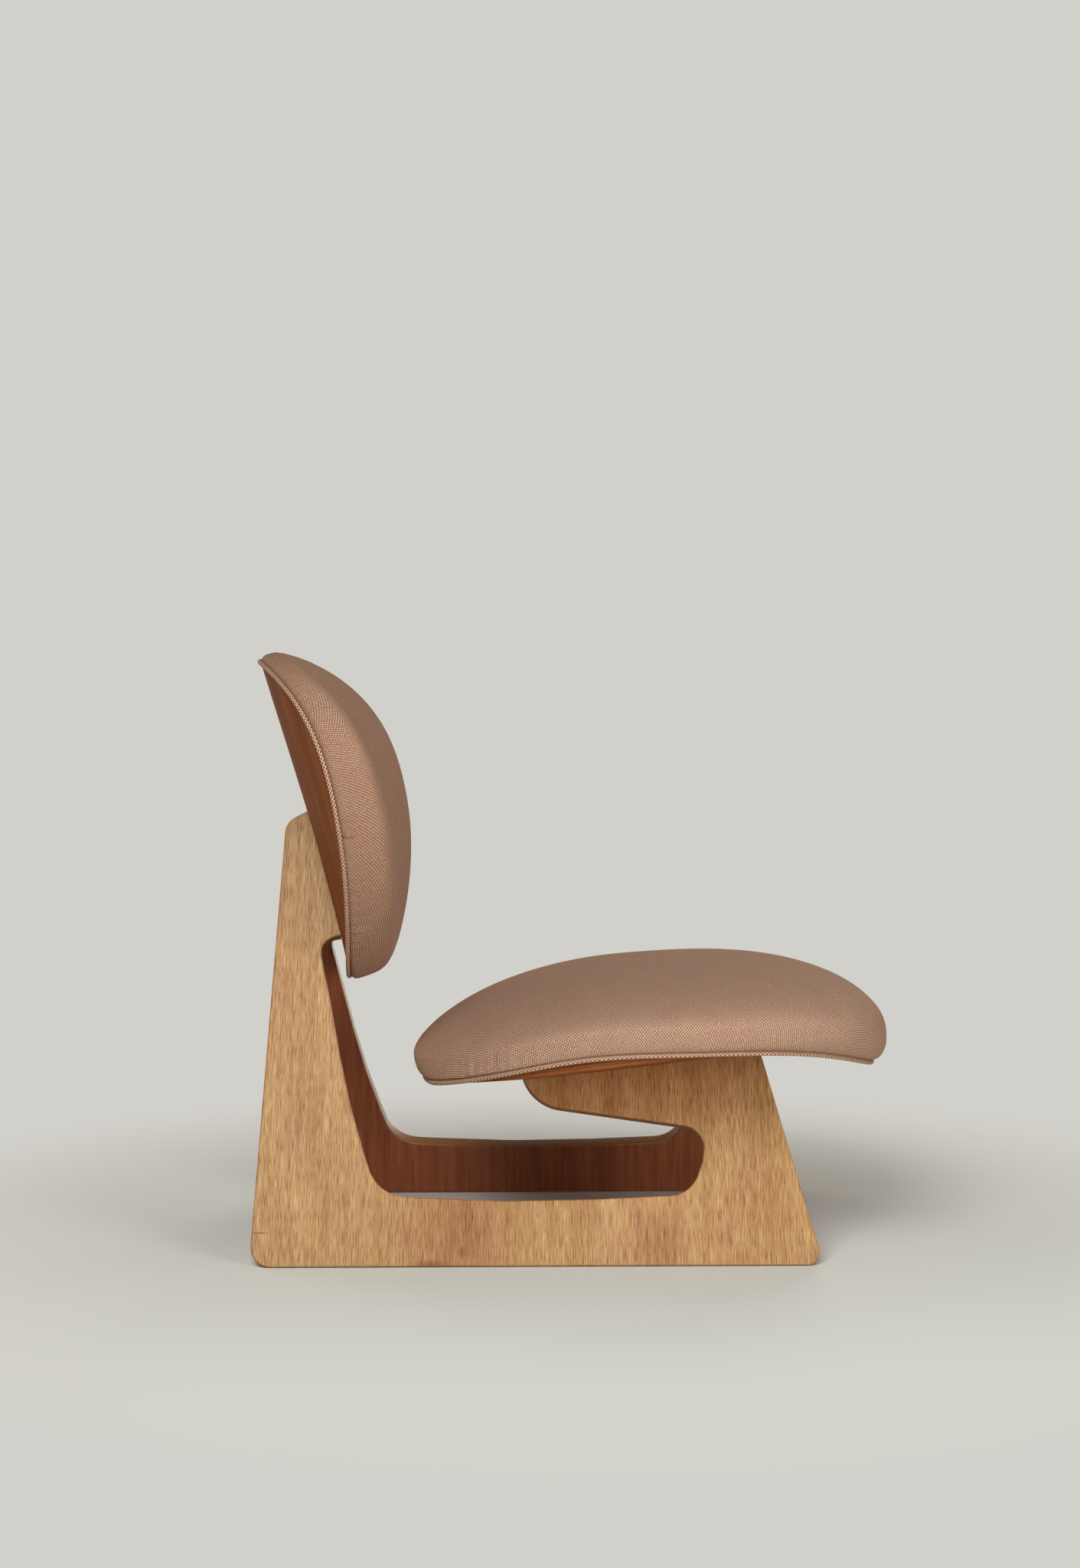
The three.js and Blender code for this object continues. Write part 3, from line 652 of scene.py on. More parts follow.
def cloth_look(tree, shader, height, tint, fuzz, seam, colours, painted_shade):
    """Colours and bump of the cloth from the weave's height, a slow tint, yarn fuzz, an even painted shade, and the
    painted shade along the seam and in the tucks that the seam share gives.
    """
    share = add(tree, "ShaderNodeMapRange", [("Value", height), ("From Min", -1.0), ("From Max", 1.0)])
    base = ramp(tree, share.outputs["Result"], list(zip((0.12, 0.5, 0.88), colours)))
    wash = ramp(tree, tint, [(0.35, "#f8e6e2"), (0.65, "#fbf1e3")])
    base = blend(tree, 1.0, base, wash, "MULTIPLY")
    # Painted shade: an even darkening of the whole cover, which makes the back's cover darker than the seat's.
    base = blend(tree, 1.0, base, linear(painted_shade), "MULTIPLY")
    base = blend(tree, 1.0, base, ramp(tree, fuzz, [(0.35, "#dcd8d6"), (0.65, "#ffffff")]), "MULTIPLY")
    # Painted shade: where the seam attribute is one, along the seam valley, underneath and in the tucks' bottoms,
    # the cloth is darkened towards a dull mauve.
    base = blend(tree, seam, base, blend(tree, 1.0, base, linear("#a87f74"), "MULTIPLY"))
    tree.links.new(base, shader.inputs["Base Color"])
    bump = add(tree, "ShaderNodeBump", [("Height", height), ("Strength", 0.5), ("Distance", 0.0004)])
    tree.links.new(bump.outputs["Normal"], shader.inputs["Normal"])
    shader.inputs["Roughness"].default_value = 0.9
    shader.inputs["Specular IOR Level"].default_value = 0.02
    shader.inputs["Sheen Weight"].default_value = 0.07
    shader.inputs["Sheen Tint"].default_value = linear("#ffcf9a")


def cover_cloth(name, painted_shade):
    """The cover's cloth. It reads the UV map and the seam attribute of a cushion, which holds painted shade along
    the seam and in the tucks.
    """
    material, tree, shader = new_material(name)
    uv = add(tree, "ShaderNodeUVMap", uv_map="UVMap")
    spots = add(tree, "ShaderNodeSeparateXYZ", [("Vector", uv.outputs["UV"])])
    mm_u = add(tree, "ShaderNodeMath", [(0, spots.outputs["X"]), (1, SHEET)], operation="MULTIPLY")
    mm_v = add(tree, "ShaderNodeMath", [(0, spots.outputs["Y"]), (1, SHEET)], operation="MULTIPLY")
    slow = add(tree, "ShaderNodeTexNoise", [
        ("Vector", uv.outputs["UV"]), ("Scale", SHEET / TINT_SIZE), ("Detail", 3.0)])
    fuzz = add(tree, "ShaderNodeTexNoise", [
        ("Vector", uv.outputs["UV"]), ("Scale", SHEET / FUZZ_SIZE), ("Detail", 2.0)])
    seam = add(tree, "ShaderNodeAttribute", attribute_name="seam")
    cloth_look(tree, shader, weave(tree, mm_u.outputs[0], mm_v.outputs[0], (WARP, WEFT)), slow.outputs["Fac"],
               fuzz.outputs["Fac"], seam.outputs["Fac"], ("#8b6955", "#af8f7c", "#d5bbac"), painted_shade)
    return material


# The back's cover is the same cloth as the seat's, with an even painted shade.
seat_cloth = cover_cloth("wool plain weave cover of the seat", "#ffffff")
back_cloth = cover_cloth("wool plain weave cover of the back", "#efeae7")

piping_cloth, tree, shader = new_material("wool plain weave piping cut on the bias")
along_place = add(tree, "ShaderNodeAttribute", attribute_name="along")
around_place = add(tree, "ShaderNodeAttribute", attribute_name="around")
mm_u = add(tree, "ShaderNodeMath", [(0, along_place.outputs["Fac"]), (1, 1000.0)], operation="MULTIPLY")
mm_v = add(tree, "ShaderNodeMath", [(0, around_place.outputs["Fac"]), (1, 1000.0)], operation="MULTIPLY")
slow = add(tree, "ShaderNodeTexNoise", [("Scale", 1000 / TINT_SIZE), ("Detail", 2.0)])
fuzz = add(tree, "ShaderNodeTexNoise", [("Scale", 1000 / FUZZ_SIZE), ("Detail", 2.0)])
cloth_look(tree, shader, weave(tree, mm_u.outputs[0], mm_v.outputs[0], (WARP * 1.1, WEFT * 1.2)),
           slow.outputs["Fac"], fuzz.outputs["Fac"], 0.0, ("#6d4d3e", "#b08e7a", "#ecd2c1"), "#ffffff")
print("cloths:", seat_cloth.name, "/", back_cloth.name, "/", piping_cloth.name)

# %% Sweep the pipings
for pad in (seat, back):
    cord = grown(rim_curve(pad, pad.name + "_rim", 0.0, 0.0), cord_nodes,
                 {"Radius": PIPING * MM, "Steps": 1000, "Sides": 16, "Cloth": piping_cloth},
                 pad.name + "_piping_swept")
    finished(cord, piping_cloth, "piping_cloth", pad.name + "_piping")


# %% [markdown]
# ## Seam stitches
# The piping is caught by a row of dark stitches in the valley between it and the cushion. They are
# the same little run of thread again and again along the rim, so Geometry Nodes put one on each
# point of an evenly divided curve.

# %% Geometry Nodes for stitches along a curve
STITCH_PITCH = 4.6
stitch_nodes, start, end = node_group("seam stitches", [
    ("Count", "NodeSocketInt"), ("Length", "NodeSocketFloat"), ("Radius", "NodeSocketFloat"),
    ("Thread", "NodeSocketMaterial")])
spots = add(stitch_nodes, "GeometryNodeCurveToPoints", [
    ("Curve", start.outputs["Geometry"]), ("Count", start.outputs["Count"])])
run = add(stitch_nodes, "GeometryNodeMeshCylinder", [
    ("Vertices", 6), ("Side Segments", 2), ("Radius", start.outputs["Radius"]), ("Depth", start.outputs["Length"])])
row = add(stitch_nodes, "GeometryNodeInstanceOnPoints", [
    ("Points", spots.outputs["Points"]), ("Instance", run.outputs["Mesh"]), ("Rotation", spots.outputs["Rotation"])])
real = add(stitch_nodes, "GeometryNodeRealizeInstances", [("Geometry", row.outputs["Instances"])])
dressed = add(stitch_nodes, "GeometryNodeSetMaterial", [
    ("Geometry", real.outputs["Geometry"]), ("Material", start.outputs["Thread"])])
stitch_nodes.links.new(dressed.outputs["Geometry"], end.inputs["Geometry"])

stitch_thread, tree, shader = new_material("waxed mauve sewing thread")
spot = add(tree, "ShaderNodeTexCoord")
noise = add(tree, "ShaderNodeTexNoise", [("Vector", spot.outputs["Object"]), ("Scale", 1000 / 1.1)])
tree.links.new(ramp(tree, noise.outputs["Fac"], [(0.35, "#7d5746"), (0.65, "#966c5b")]), shader.inputs["Base Color"])
shader.inputs["Roughness"].default_value = 0.7
shader.inputs["Specular IOR Level"].default_value = 0.1
for pad in (seat, back):
    rim_length = np.linalg.norm(np.diff(pad.ring(even_angles(720), *pad.halves, pad.piping_level), axis=0), axis=1).sum()
    stitches = grown(rim_curve(pad, pad.name + "_seam", PIPING * 0.46, PIPING * 0.985), stitch_nodes,
                     {"Count": int(rim_length / STITCH_PITCH), "Length": 3.9 * MM, "Radius": 0.45 * MM,
                      "Thread": stitch_thread}, pad.name + "_seam_stitches")
    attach(stitches, "root")
    print(stitches.name, "stitches:", int(rim_length / STITCH_PITCH))

# %% [markdown]
# ## Cushions
# A moulded foam pad with its cover drawn tight over it and sewn to the piping. Its side rolls out
# over the seam and up, and its crown rises to a long low dome on the seat and to a dished, wrapped
# form on the back. The rings follow the same formulas as the solids, and the UV map lays the cloth
# out flat from the crown's middle, as the cutter would.

# %% Cushion skins
def cushion_rings(pad, angle, side_steps, crown_steps):
    """The cushion's rings from the middle underneath, round its drawn-in side, to the crown."""
    across, along = pad.halves
    shell_across, shell_along = pad.halves - pad.inset
    rim_x, rim_y = pad.at(angle, across, along)
    seam_level = pad.piping_level(rim_x, rim_y) + PIPING + GAP
    over_board = lambda x, y: pad.face(x, y) + pad.board + 2 * GAP
    over_shell = lambda x, y: pad.face(x, y) + GAP
    hem = lambda x, y: np.minimum(pad.face(x, y), pad.piping_level(x, y) + PIPING + GAP) - 1
    under = [pad.ring(angle, shell_across * s, shell_along * s, over_board)
             for s in np.linspace(0.05, pad.board_share, 12)]
    edge = pad.board_share
    under += [pad.ring(angle, shell_across * edge + GAP, shell_along * edge + GAP, over_board),
              pad.ring(angle, shell_across * edge + GAP, shell_along * edge + GAP, over_shell),
              pad.ring(angle, shell_across * 0.94, shell_along * 0.94, over_shell),
              pad.ring(angle, shell_across + GAP, shell_along + GAP, over_shell),
              pad.ring(angle, shell_across + GAP, shell_along + GAP, hem),
              pad.ring(angle, across - PIPING - GAP, along - PIPING - GAP, hem)]
    inner = np.stack([*pad.at(angle, across - PIPING, along - PIPING), seam_level - 0.6], 1)
    under.append(inner)
    outer = []
    reach = pad.overhang - pad.nose_overhang * np.sin(angle)
    for k in range(side_steps + 1):
        bend = math.pi / 2 * k / side_steps
        grow = math.sin(bend) * reach
        x, y = pad.at(angle, across + grow, along + grow, 1 - math.sin(bend))
        outer.append(np.stack([x, y, seam_level + pad.waist * (1 - math.cos(bend))], 1))
    for k in range(1, crown_steps + 1):
        bend = math.pi / 2 * min(k / crown_steps, 0.997)
        spread = math.cos(bend) ** (2 / (pad.plan_power * (1 - pad.nose_plan * np.sin(angle))))
        x, y = pad.at(angle, (across + reach) * spread, (along + reach) * spread, 0.0)
        share = math.sin(bend) ** (2 / (pad.rise_power * (1 - pad.nose_rise * np.sin(angle))))
        top = pad.crown_form(x / across, y / along) + pad.crown
        outer.append(np.stack([x, y, pad.waist + seam_level * (1 - share) + top * share], 1))
    return np.array(under), np.array(outer)


def cloth_uv(under, outer):
    """Flat places of the cloth: along each meridian from the crown's middle, in its own direction."""
    rings = np.concatenate([under, outer])
    pole = outer[-1].mean(0)
    steps = np.linalg.norm(np.diff(rings, axis=0), axis=2)
    first = np.linalg.norm(rings[-1] - pole, axis=1)
    reach = np.concatenate([np.cumsum(steps[::-1], axis=0)[::-1] + first, [first]])
    rim = outer[0]
    way = np.arctan2(rim[:, 1], rim[:, 0])
    flat = np.stack([reach * np.cos(way), reach * np.sin(way)], 2).reshape(-1, 2)
    return np.concatenate([flat, [[0, 0]], [[0, 0]]]) / SHEET


# %% [markdown]
# ## Cloth simulation
# The cover is a sewn bag that the foam presses outwards, so a cloth simulation gives the small waves
# and pulls that a formula lacks. A copy of the pad is remeshed into even squares, held along its seam
# and underneath, and blown up as a slightly too large bag. Only its short waves are carried back to
# the fine skin, whose long form already follows the photograph.

# %% Blow up a copy of the pad
COVER_SPARE = -0.02
VOXEL = 5.0
WAVE_CAP = 0.9


def blown_up(pad, points, faces, held):
    """Start places of the remeshed pad in millimetres, and how far the cloth moved each one."""
    rough = mesh_object(pad.name + "_blown", pad.placed(points), faces)
    remesh = rough.modifiers.new("even squares", "REMESH")
    remesh.mode, remesh.voxel_size = "VOXEL", VOXEL * MM
    rough.data = bpy.data.meshes.new_from_object(rough.evaluated_get(bpy.context.evaluated_depsgraph_get()))
    rough.modifiers.clear()
    start_places = np.empty((len(rough.data.vertices), 3), np.float32)
    rough.data.vertices.foreach_get("co", start_places.ravel())
    tree = KDTree(len(points))
    for index, place in enumerate(pad.placed(points) * MM):
        tree.insert(place, index)
    tree.balance()
    group = rough.vertex_groups.new(name="held")
    group.add([i for i, place in enumerate(start_places) if held[tree.find(place)[1]]], 1.0, "REPLACE")
    cloth = rough.modifiers.new("cover", "CLOTH")
    settings = cloth.settings
    settings.quality = 6
    settings.mass = 0.3
    settings.tension_stiffness = settings.compression_stiffness = 15.0
    settings.bending_stiffness = 0.4
    settings.use_pressure = True
    settings.uniform_pressure_force = 4.0
    settings.effector_weights.gravity = 0.0
    settings.shrink_min = COVER_SPARE
    settings.vertex_group_mass = "held"
    cloth.collision_settings.use_collision = False
    for number in range(1, 21):
        scene.frame_set(number)
    end_places = np.empty_like(start_places)
    shape = rough.evaluated_get(bpy.context.evaluated_depsgraph_get()).to_mesh()
    shape.vertices.foreach_get("co", end_places.ravel())
    scene.frame_set(1)
    bpy.data.objects.remove(rough)
    return start_places / MM, (end_places - start_places) / MM


def climb_of(outer):
    """How far each point lies from the seam, along the cloth."""
    return np.concatenate([np.zeros((1, outer.shape[1])),
                           np.cumsum(np.linalg.norm(np.diff(outer, axis=0), axis=2), axis=0)])


def tightness(pad, way):
    """One where the rim turns most tightly, falling to zero on its long easy runs."""
    return sum(np.exp(-(((way - middle + np.pi) % (2 * np.pi) - np.pi) / spread) ** 2)
               for middle, spread in pad.gather_places)


def smoothed(field, rounds):
    """A grid of rings with its short waves evened out, round the pad and from ring to ring."""
    for _ in range(rounds):
        field = (np.roll(field, 1, axis=1) + field * 2 + np.roll(field, -1, axis=1)) / 4
        edged = np.concatenate([field[:1], field, field[-1:]])
        field = (edged[:-2] + edged[1:-1] * 2 + edged[2:]) / 4
    return field


def cover_waves(pad, points, faces, rings_under, count):
    """Short waves of the blown-up cover at each point of the skin's outer rings, in millimetres."""
    held = np.arange(len(points)) < (rings_under + 2) * count
    places, moves = blown_up(pad, points, faces, held)
    tree = KDTree(len(places))
    for index, place in enumerate(places):
        tree.insert(place, index)
    tree.balance()
    outer = pad.placed(points[rings_under * count:-2])
    carried = np.empty_like(outer)
    for index, place in enumerate(outer):
        near = tree.find_n(place, 4)
        weights = np.array([1 / (distance + 0.5) for _, _, distance in near])
        carried[index] = weights @ moves[[number for _, number, _ in near]] / weights.sum()
    grid = carried.reshape(-1, count, 3)
    waves = smoothed(grid, 3) - smoothed(grid, 160)
    size = np.linalg.norm(waves, axis=2, keepdims=True)
    waves *= WAVE_CAP / (WAVE_CAP + size)
    fade = np.clip((np.arange(len(waves)) - 1) / 4, 0, 1)[:, None, None]
    fade = fade * (0.2 + 0.8 * np.exp(-climb_of(outer.reshape(grid.shape)) / 45))[..., None]
    print(pad.name, "cloth waves:", round(float(size.max()), 2), "mm before the cap")
    return waves * fade * (0.3 + 0.7 * np.minimum(tightness(pad, even_angles(count)), 1))[:, None]


# %% [markdown]
# ## Gathers and tucks
# Where the rim turns tightly, the sewn cloth has more length than the seam, so it gathers into short
# shallow waves that die out a finger's width above the piping. One deeper tuck shows on the near side
# of the back. Both are worked into the fine skin along its normals, after the simulation, and the
# tuck's bottom is darkened with painted shade.

# %% Gathers by place round the pad, and single tucks
GATHER_REACH = 7.0
GATHER_LENGTH = 15.0
# Each tuck: start and end place in millimetres, width, depth, and the share of painted shade in its bottom.
TUCKS = {"seat": [((-229, 91, 211), (-238, 82, 238), 3.2, 0.7, 0.0), ((-213, 108, 206), (-219, 102, 228), 3.0, 0.6, 0.0)],
         "back": [((-219, 246, 457), (-221, 228, 456.5), 1.3, 1.5, 1.0)]}


def grid_normals(grid):
    """Outward directions on a grid of rings."""
    on = np.roll(grid, -1, axis=1) - np.roll(grid, 1, axis=1)
    up = np.gradient(grid, axis=0)
    out = np.cross(on, up)
    return out / np.maximum(np.linalg.norm(out, axis=2, keepdims=True), 1e-9)


def gathers(pad, outer):
    """Depth of the gathers at each point, in millimetres."""
    seam = outer[0]
    arc = np.cumsum(np.linalg.norm(np.roll(seam, -1, axis=0) - seam, axis=1))
    turns = np.round(arc[-1] / GATHER_LENGTH)
    way = even_angles(len(seam))
    uneven = 0.6 * np.sin(3 * way + 0.7) + 0.5 * np.sin(7 * way + 2.1)
    wave = np.sin(2 * np.pi * turns * arc / arc[-1] + 2.2 * uneven)
    climb = climb_of(outer) / GATHER_REACH
    return pad.gather_depth * (0.1 + tightness(pad, way)) * wave * climb * np.exp(1 - climb)


def tuck_depth(pad, placed):
    """Depth of the tucks at each point, and the share of painted shade in their bottoms."""
    depth, dark = np.zeros(placed.shape[:2]), np.zeros(placed.shape[:2])
    for start_place, end_place, width, deep, painted_shade in TUCKS[pad.name]:
        run = np.subtract(end_place, start_place)
        share = np.clip((placed - start_place) @ run / (run @ run), 0, 1)
        apart = np.linalg.norm(placed - (start_place + share[..., None] * run), axis=2)
        mask = np.exp(-(apart / width) ** 2) * (1 - share ** 3)
        depth += deep * mask
        dark = np.maximum(dark, painted_shade * mask)
    return depth, dark


# %% Cushion pieces
CUSHION_STEPS = 800


def cushion_piece(pad, side_steps, crown_steps):
    angle = even_angles(CUSHION_STEPS)
    under, outer = cushion_rings(pad, angle, side_steps, crown_steps)
    last = np.array([0, 0, pad.waist + pad.crown])
    points, faces = skin(np.concatenate([under, outer]), [0, 0, pad.board + 2 * GAP], last)
    flat = cloth_uv(under, outer)
    corners = np.concatenate([np.array(face) for face in faces])
    placed = pad.placed(points)
    grid = placed[len(under) * CUSHION_STEPS:-2].reshape(outer.shape)
    normals = grid_normals(grid)
    tucks, dark = tuck_depth(pad, grid)
    grid += cover_waves(pad, points, faces, len(under), CUSHION_STEPS)
    grid += normals * (gathers(pad, outer) - tucks)[..., None]
    piece = mesh_object(pad.name + "_cushion_sewn", placed, faces, flat[corners])
    # Painted shade: full at the seam, fading a few millimetres up the side, and in the tucks' bottoms; the seam
    # attribute carries it.
    painted_shade = np.maximum(np.clip(1 - climb_of(outer) / SEAM_PAINTED_SHADE_REACH, 0, 1) ** 1.5, dark)
    seam = np.concatenate([np.ones(len(under) * CUSHION_STEPS), painted_shade.ravel(), [1, 0]])
    piece.data.attributes.new("seam", "FLOAT", "POINT").data.foreach_set("value", seam)
    return piece


for pad, cloth, steps in ((seat, seat_cloth, (16, 62)), (back, back_cloth, (12, 66))):
    cushion = cushion_piece(pad, *steps)
    finished(cushion, cloth, "cushion_cloth", pad.name + "_cushion")

# %% [markdown]
# ## Veneers
# The panels are faced with straight-grained open-pored veneer under a thin satin lacquer: long fine
# grain, short dark pores and slow patches between gold and pink. The grain runs up the panel, so the
# pattern is laid in the panel's own leaning axes. On the rims and sawn edges the plies show. The inner
# faces get a darker, redder tone, which is painted shade. The panel nearest the camera has a few reddish
# marks, two soft pink patches near the floor, and a broad warm tint over its arm under the seat, partly
# the veneer's pink figure and partly painted shade.


# %% Veneered panel
# Each mark: place forward and up, half width and height in millimetres, share and colour. The last, broad one tints
# the near arm under the seat warmer and darker: partly the veneer's pink figure, partly painted shade.
MARKS_AND_PAINTED_SHADE = [(-36, 36, 11, 1.2, 0.8, "#a5604a"), (-218, 3, 22, 5, 0.6, "#b0705a"), (-251, 15, 6, 8, 0.55, "#b5745c"),
         (-245, 42, 80, 75, 0.75, "#dbbaa6"), (-459, 23, 34, 42, 0.6, "#e0bfa8"),
         (-415, 205, 190, 95, 1.0, "#ffe9e4")]


def panel_axes(tree):
    """Places forward, up the panel and into its thickness, in millimetres, for either panel."""
    spot = add(tree, "ShaderNodeTexCoord")
    part = add(tree, "ShaderNodeSeparateXYZ", [("Vector", spot.outputs["Object"])])
    out = add(tree, "ShaderNodeMath", [(0, part.outputs["X"])], operation="ABSOLUTE")
    mirrored = add(tree, "ShaderNodeCombineXYZ", [
        ("X", out.outputs[0]), ("Y", part.outputs["Y"]), ("Z", part.outputs["Z"])])
    foot = (FOOT_SPREAD / 2 * MM, 0.0, ORIGIN[2] * MM)
    local = add(tree, "ShaderNodeVectorMath", [(0, mirrored.outputs[0]), (1, foot)], operation="SUBTRACT")
    places = []
    for way in ((0.0, 1000.0, 0.0), (-1000 * math.sin(LEAN), 0.0, 1000 * math.cos(LEAN)),
                (-1000 * math.cos(LEAN), 0.0, -1000 * math.sin(LEAN))):
        places.append(add(tree, "ShaderNodeVectorMath", [(0, local.outputs[0]), (1, way)],
                          operation="DOT_PRODUCT").outputs["Value"])
    side = add(tree, "ShaderNodeMath", [(0, part.outputs["X"])], operation="SIGN")
    apart = add(tree, "ShaderNodeMath", [(0, side.outputs[0]), (1, 371.0)], operation="MULTIPLY")
    forward = add(tree, "ShaderNodeMath", [(0, places[0]), (1, apart.outputs[0])], operation="ADD")
    return forward.outputs[0], places[1], places[2]


def stretched(tree, forward, up, depth, sizes):
    """A vector for a texture whose features measure sizes millimetres along the three axes."""
    parts = []
    for place, size in zip((forward, up, depth), sizes):
        parts.append(add(tree, "ShaderNodeMath", [(0, place), (1, 1 / size)], operation="MULTIPLY").outputs[0])
    return add(tree, "ShaderNodeCombineXYZ", list(zip("XYZ", parts))).outputs[0]


PLY = 1.6
FACE_PLY = 0.85


def with_plies(tree, face_tone, depth, thickness, speckle, colours):
    """The face's colour, with the striped plies wherever the depth lies between the two faces."""
    off_middle = add(tree, "ShaderNodeMath", [(0, depth), (1, thickness / 2)], operation="SUBTRACT")
    off_middle = add(tree, "ShaderNodeMath", [(0, off_middle.outputs[0])], operation="ABSOLUTE")
    inside = add(tree, "ShaderNodeMapRange", [
        ("Value", off_middle.outputs[0]), ("From Min", thickness / 2 - FACE_PLY),
        ("From Max", thickness / 2 - FACE_PLY - 0.25)])
    wave = add(tree, "ShaderNodeMath", [(0, depth), (1, math.pi / PLY)], operation="MULTIPLY")
    wave = add(tree, "ShaderNodeMath", [(0, wave.outputs[0])], operation="SINE")
    share = add(tree, "ShaderNodeMapRange", [("Value", wave.outputs[0]), ("From Min", -0.6), ("From Max", 0.6)])
    plies = ramp(tree, share.outputs["Result"], list(zip((0.0, 1.0), colours)))
    plies = blend(tree, 0.5, plies, ramp(tree, speckle, [(0.3, "#c8a88a"), (0.7, "#ffffff")]), "MULTIPLY")
    return blend(tree, inside.outputs["Result"], face_tone, plies)


panel_veneer, tree, shader = new_material("open-pored veneer on plywood with satin lacquer")
forward, up_place, depth = panel_axes(tree)


def grain_noise(sizes, detail, roughness=0.5):
    """Noise drawn out along the grain. Sizes are millimetres forward, up and through the panel."""
    way = stretched(tree, forward, up_place, depth, sizes)
    made = add(tree, "ShaderNodeTexNoise", [
        ("Vector", way), ("Scale", 1.0), ("Detail", detail), ("Roughness", roughness)])
    return made.outputs["Fac"]


broad = grain_noise((30, 260, 40), 2.0)
patches = grain_noise((30, 80, 40), 2.0)
streaks = grain_noise((5.5, 120, 8), 2.0)
lines = grain_noise((0.9, 20, 4), 2.0, 0.55)
pores = grain_noise((0.85, 15, 3), 1.0)
tone = ramp(tree, broad, [(0.35, "#b28f60"), (0.5, "#b9976c"), (0.65, "#c1a077")])
mauve = add(tree, "ShaderNodeMapRange", [("Value", patches), ("From Min", 0.5), ("From Max", 0.75)])
tone = blend(tree, mauve.outputs["Result"], tone, linear("#b48c6d"))
tone = blend(tree, 1.0, tone, ramp(tree, streaks, [(0.35, "#ecddca"), (0.6, "#fffaf0")]), "MULTIPLY")
tone = blend(tree, 1.0, tone, ramp(tree, lines, [(0.36, "#cdb08c"), (0.5, "#efe2d0"), (0.62, "#fffdf8")]),
             "MULTIPLY")
pore_mask = add(tree, "ShaderNodeMapRange", [("Value", pores), ("From Min", 0.6), ("From Max", 0.78)])
tone = blend(tree, pore_mask.outputs["Result"], tone, blend(tree, 1.0, tone, linear("#bd9d72"), "MULTIPLY"))
for forward_at, up_at, half_wide, half_high, share, colour in MARKS_AND_PAINTED_SHADE:
    flat_place = add(tree, "ShaderNodeCombineXYZ", [("X", forward), ("Y", up_place)])
    gap = add(tree, "ShaderNodeVectorMath", [(0, flat_place.outputs[0]), (1, (forward_at, up_at, 0.0))],
              operation="SUBTRACT")
    gap = add(tree, "ShaderNodeVectorMath", [(0, gap.outputs[0]), (1, (1 / half_wide, 1 / half_high, 0.0))],
              operation="MULTIPLY")
    apart = add(tree, "ShaderNodeVectorMath", [(0, gap.outputs[0])], operation="LENGTH")
    mask = add(tree, "ShaderNodeMapRange", [
        ("Value", apart.outputs["Value"]), ("From Min", 1.2), ("From Max", 0.1), ("To Max", share)],
               interpolation_type="SMOOTHSTEP")
    tone = blend(tree, mask.outputs["Result"], tone, blend(tree, 1.0, tone, linear(colour), "MULTIPLY"))
# Painted shade: the inner faces, which face each other under the seat, get a darker, redder tone.
hidden_side = add(tree, "ShaderNodeMapRange", [("Value", depth), ("From Min", 17.0), ("From Max", 17.6)])
inner_face_painted_shade = blend(tree, 0.6, blend(tree, 1.0, tone, linear("#bd875d"), "MULTIPLY"),
                ramp(tree, streaks, [(0.3, "#80452f"), (0.7, "#9a5a3b")]))
tone = blend(tree, hidden_side.outputs["Result"], tone, inner_face_painted_shade)
ply_noise = add(tree, "ShaderNodeTexNoise", [
    ("Vector", stretched(tree, forward, up_place, depth, (9, 9, 0.7))), ("Scale", 1.0), ("Detail", 3.0)])
tone = with_plies(tree, tone, depth, PANEL, ply_noise.outputs["Fac"], ("#865628", "#a8723a"))
tree.links.new(tone, shader.inputs["Base Color"])
pore_bump = add(tree, "ShaderNodeBump", [
    ("Height", pore_mask.outputs["Result"]), ("Strength", 0.3), ("Distance", -0.0003)])
tree.links.new(pore_bump.outputs["Normal"], shader.inputs["Normal"])
shader.inputs["Roughness"].default_value = 0.5
shader.inputs["Specular IOR Level"].default_value = 0.25
for word, panel in panels.items():
    finished(panel, panel_veneer, "panel_wood", "side_panel_" + word)

# %% Veneered shells
shell_veneer, tree, shader = new_material("moulded plywood shell with satin lacquer")
spot = add(tree, "ShaderNodeTexCoord")
grain_way = add(tree, "ShaderNodeMapping", [
    ("Vector", spot.outputs["Object"]), ("Scale", (1000 / 3.0, 1000 / 90.0, 1000 / 90.0))])
grain = add(tree, "ShaderNodeTexNoise", [
    ("Vector", grain_way.outputs[0]), ("Scale", 1.0), ("Detail", 5.0)])
broad_way = add(tree, "ShaderNodeMapping", [
    ("Vector", spot.outputs["Object"]), ("Scale", (1000 / 22.0, 1000 / 260.0, 1000 / 260.0))])
broad = add(tree, "ShaderNodeTexNoise", [
    ("Vector", broad_way.outputs[0]), ("Scale", 1.0), ("Detail", 2.0)])
tone = ramp(tree, broad.outputs["Fac"], [(0.3, "#784527"), (0.55, "#8a502b"), (0.75, "#985a31")])
tone = blend(tree, 0.6, tone, ramp(tree, grain.outputs["Fac"], [(0.3, "#cfae93"), (0.65, "#ffffff")]), "MULTIPLY")
uv = add(tree, "ShaderNodeUVMap", uv_map="UVMap")
part = add(tree, "ShaderNodeSeparateXYZ", [("Vector", uv.outputs["UV"])])
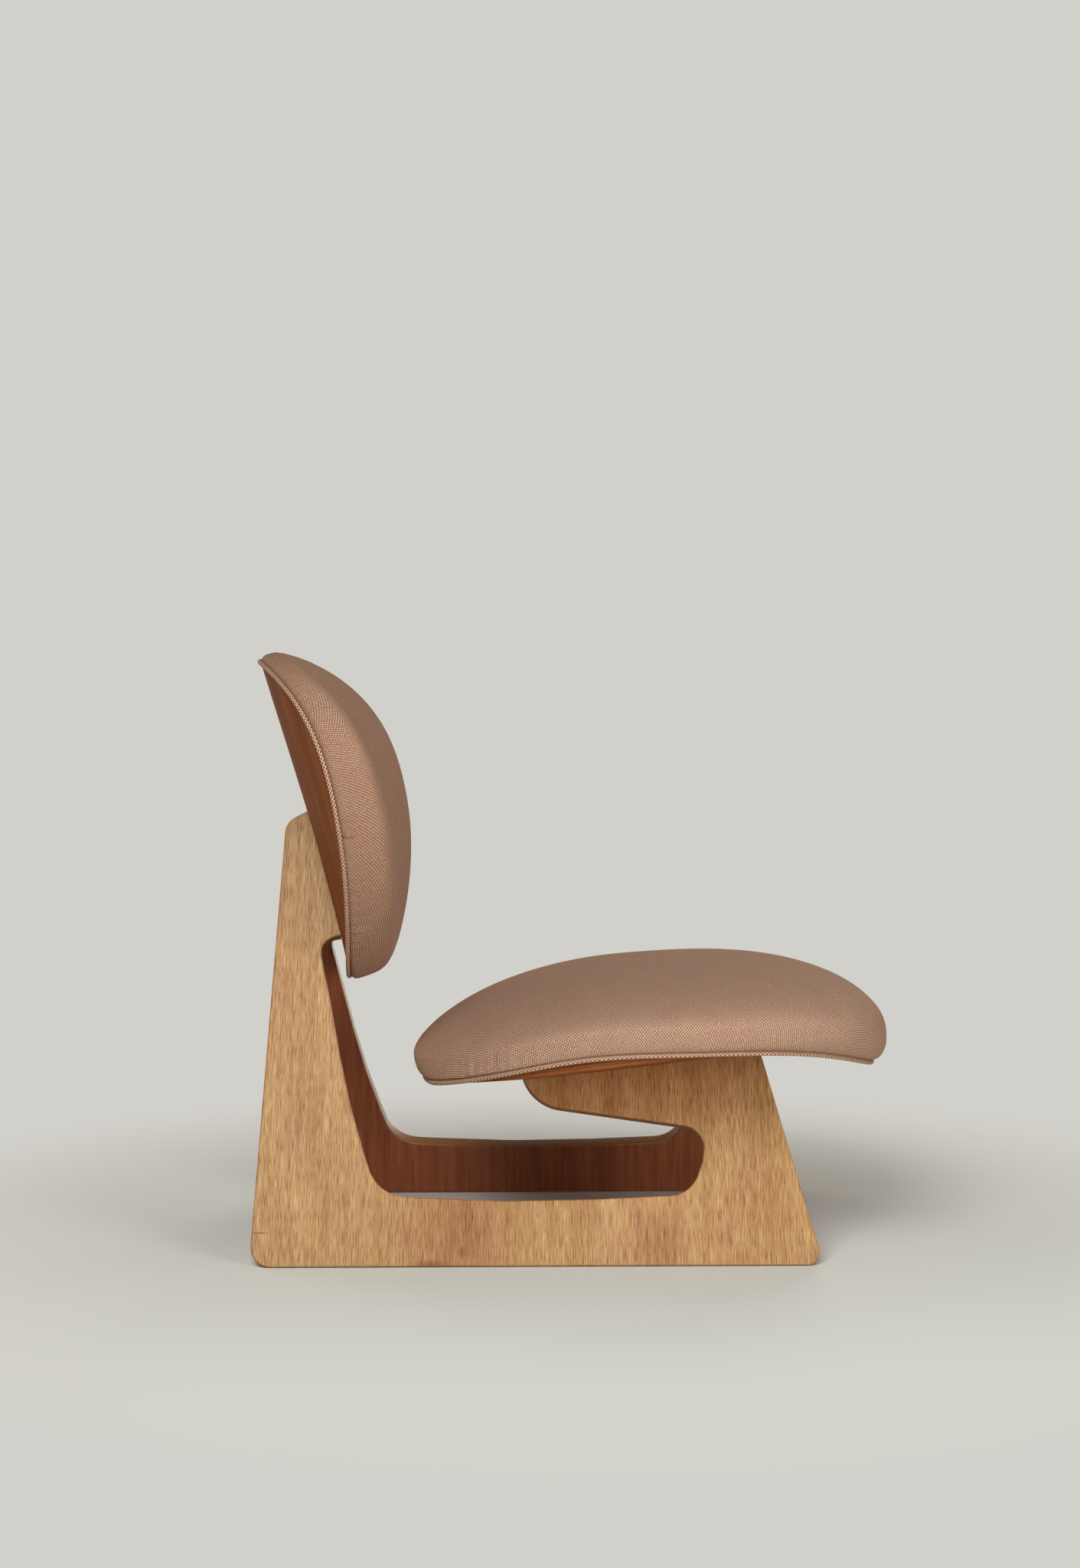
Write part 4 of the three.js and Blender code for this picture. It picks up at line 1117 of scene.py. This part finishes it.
depth = add(tree, "ShaderNodeMath", [(0, part.outputs["X"]), (1, SHEET)], operation="MULTIPLY")
tone = with_plies(tree, tone, depth.outputs[0], 9.5, grain.outputs["Fac"], ("#80492a", "#8f5733"))
tree.links.new(tone, shader.inputs["Base Color"])
shader.inputs["Roughness"].default_value = 0.5
shader.inputs["Specular IOR Level"].default_value = 0.01
finished(seat_shell, shell_veneer, "shell_wood", "seat_shell")
finished(back_shell, shell_veneer, "shell_wood", "back_shell")

# %% [markdown]
# ## Small hidden parts
# Boards, screws, clips, glides and the wedge between the posts stay as the CAD made them. They get
# plain finishes of their own: raw birch plywood, raw beech, zinc-plated steel and moulded nylon.


# %% Finishes for the small parts
def plain_finish(name, dark, light, size, roughness, metallic=0.0):
    """A finish with a slight change of tone over a size in millimetres."""
    material, tree, shader = new_material(name)
    spot = add(tree, "ShaderNodeTexCoord")
    noise = add(tree, "ShaderNodeTexNoise", [
        ("Vector", spot.outputs["Object"]), ("Scale", 1000 / size), ("Detail", 3.0)])
    tree.links.new(ramp(tree, noise.outputs["Fac"], [(0.3, dark), (0.7, light)]), shader.inputs["Base Color"])
    shader.inputs["Roughness"].default_value = roughness
    shader.inputs["Metallic"].default_value = metallic
    return material


small_finishes = {
    "board": plain_finish("raw birch plywood", "#c2a274", "#d3b88d", 12, 0.7),
    "dowel": plain_finish("raw turned beech", "#bf9466", "#d0ab80", 5, 0.65),
    "wedge": plain_finish("raw sawn beech", "#b98d60", "#cda67a", 8, 0.65),
    "screw": plain_finish("zinc-plated steel", "#9c9c9e", "#b4b4b6", 2, 0.35, 1.0),
    "clip": plain_finish("moulded nylon clip", "#cfcbc1", "#dad7ce", 6, 0.5),
    "glide": plain_finish("moulded nylon glide", "#6d6963", "#7b7771", 6, 0.5),
}
for name, node in nodes.items():
    for word, finish in small_finishes.items():
        if word in name:
            node.data.materials.clear()
            node.data.materials.append(finish)
print("small parts finished:", sum(any(word in n for word in small_finishes) for n in nodes))

# %% [markdown]
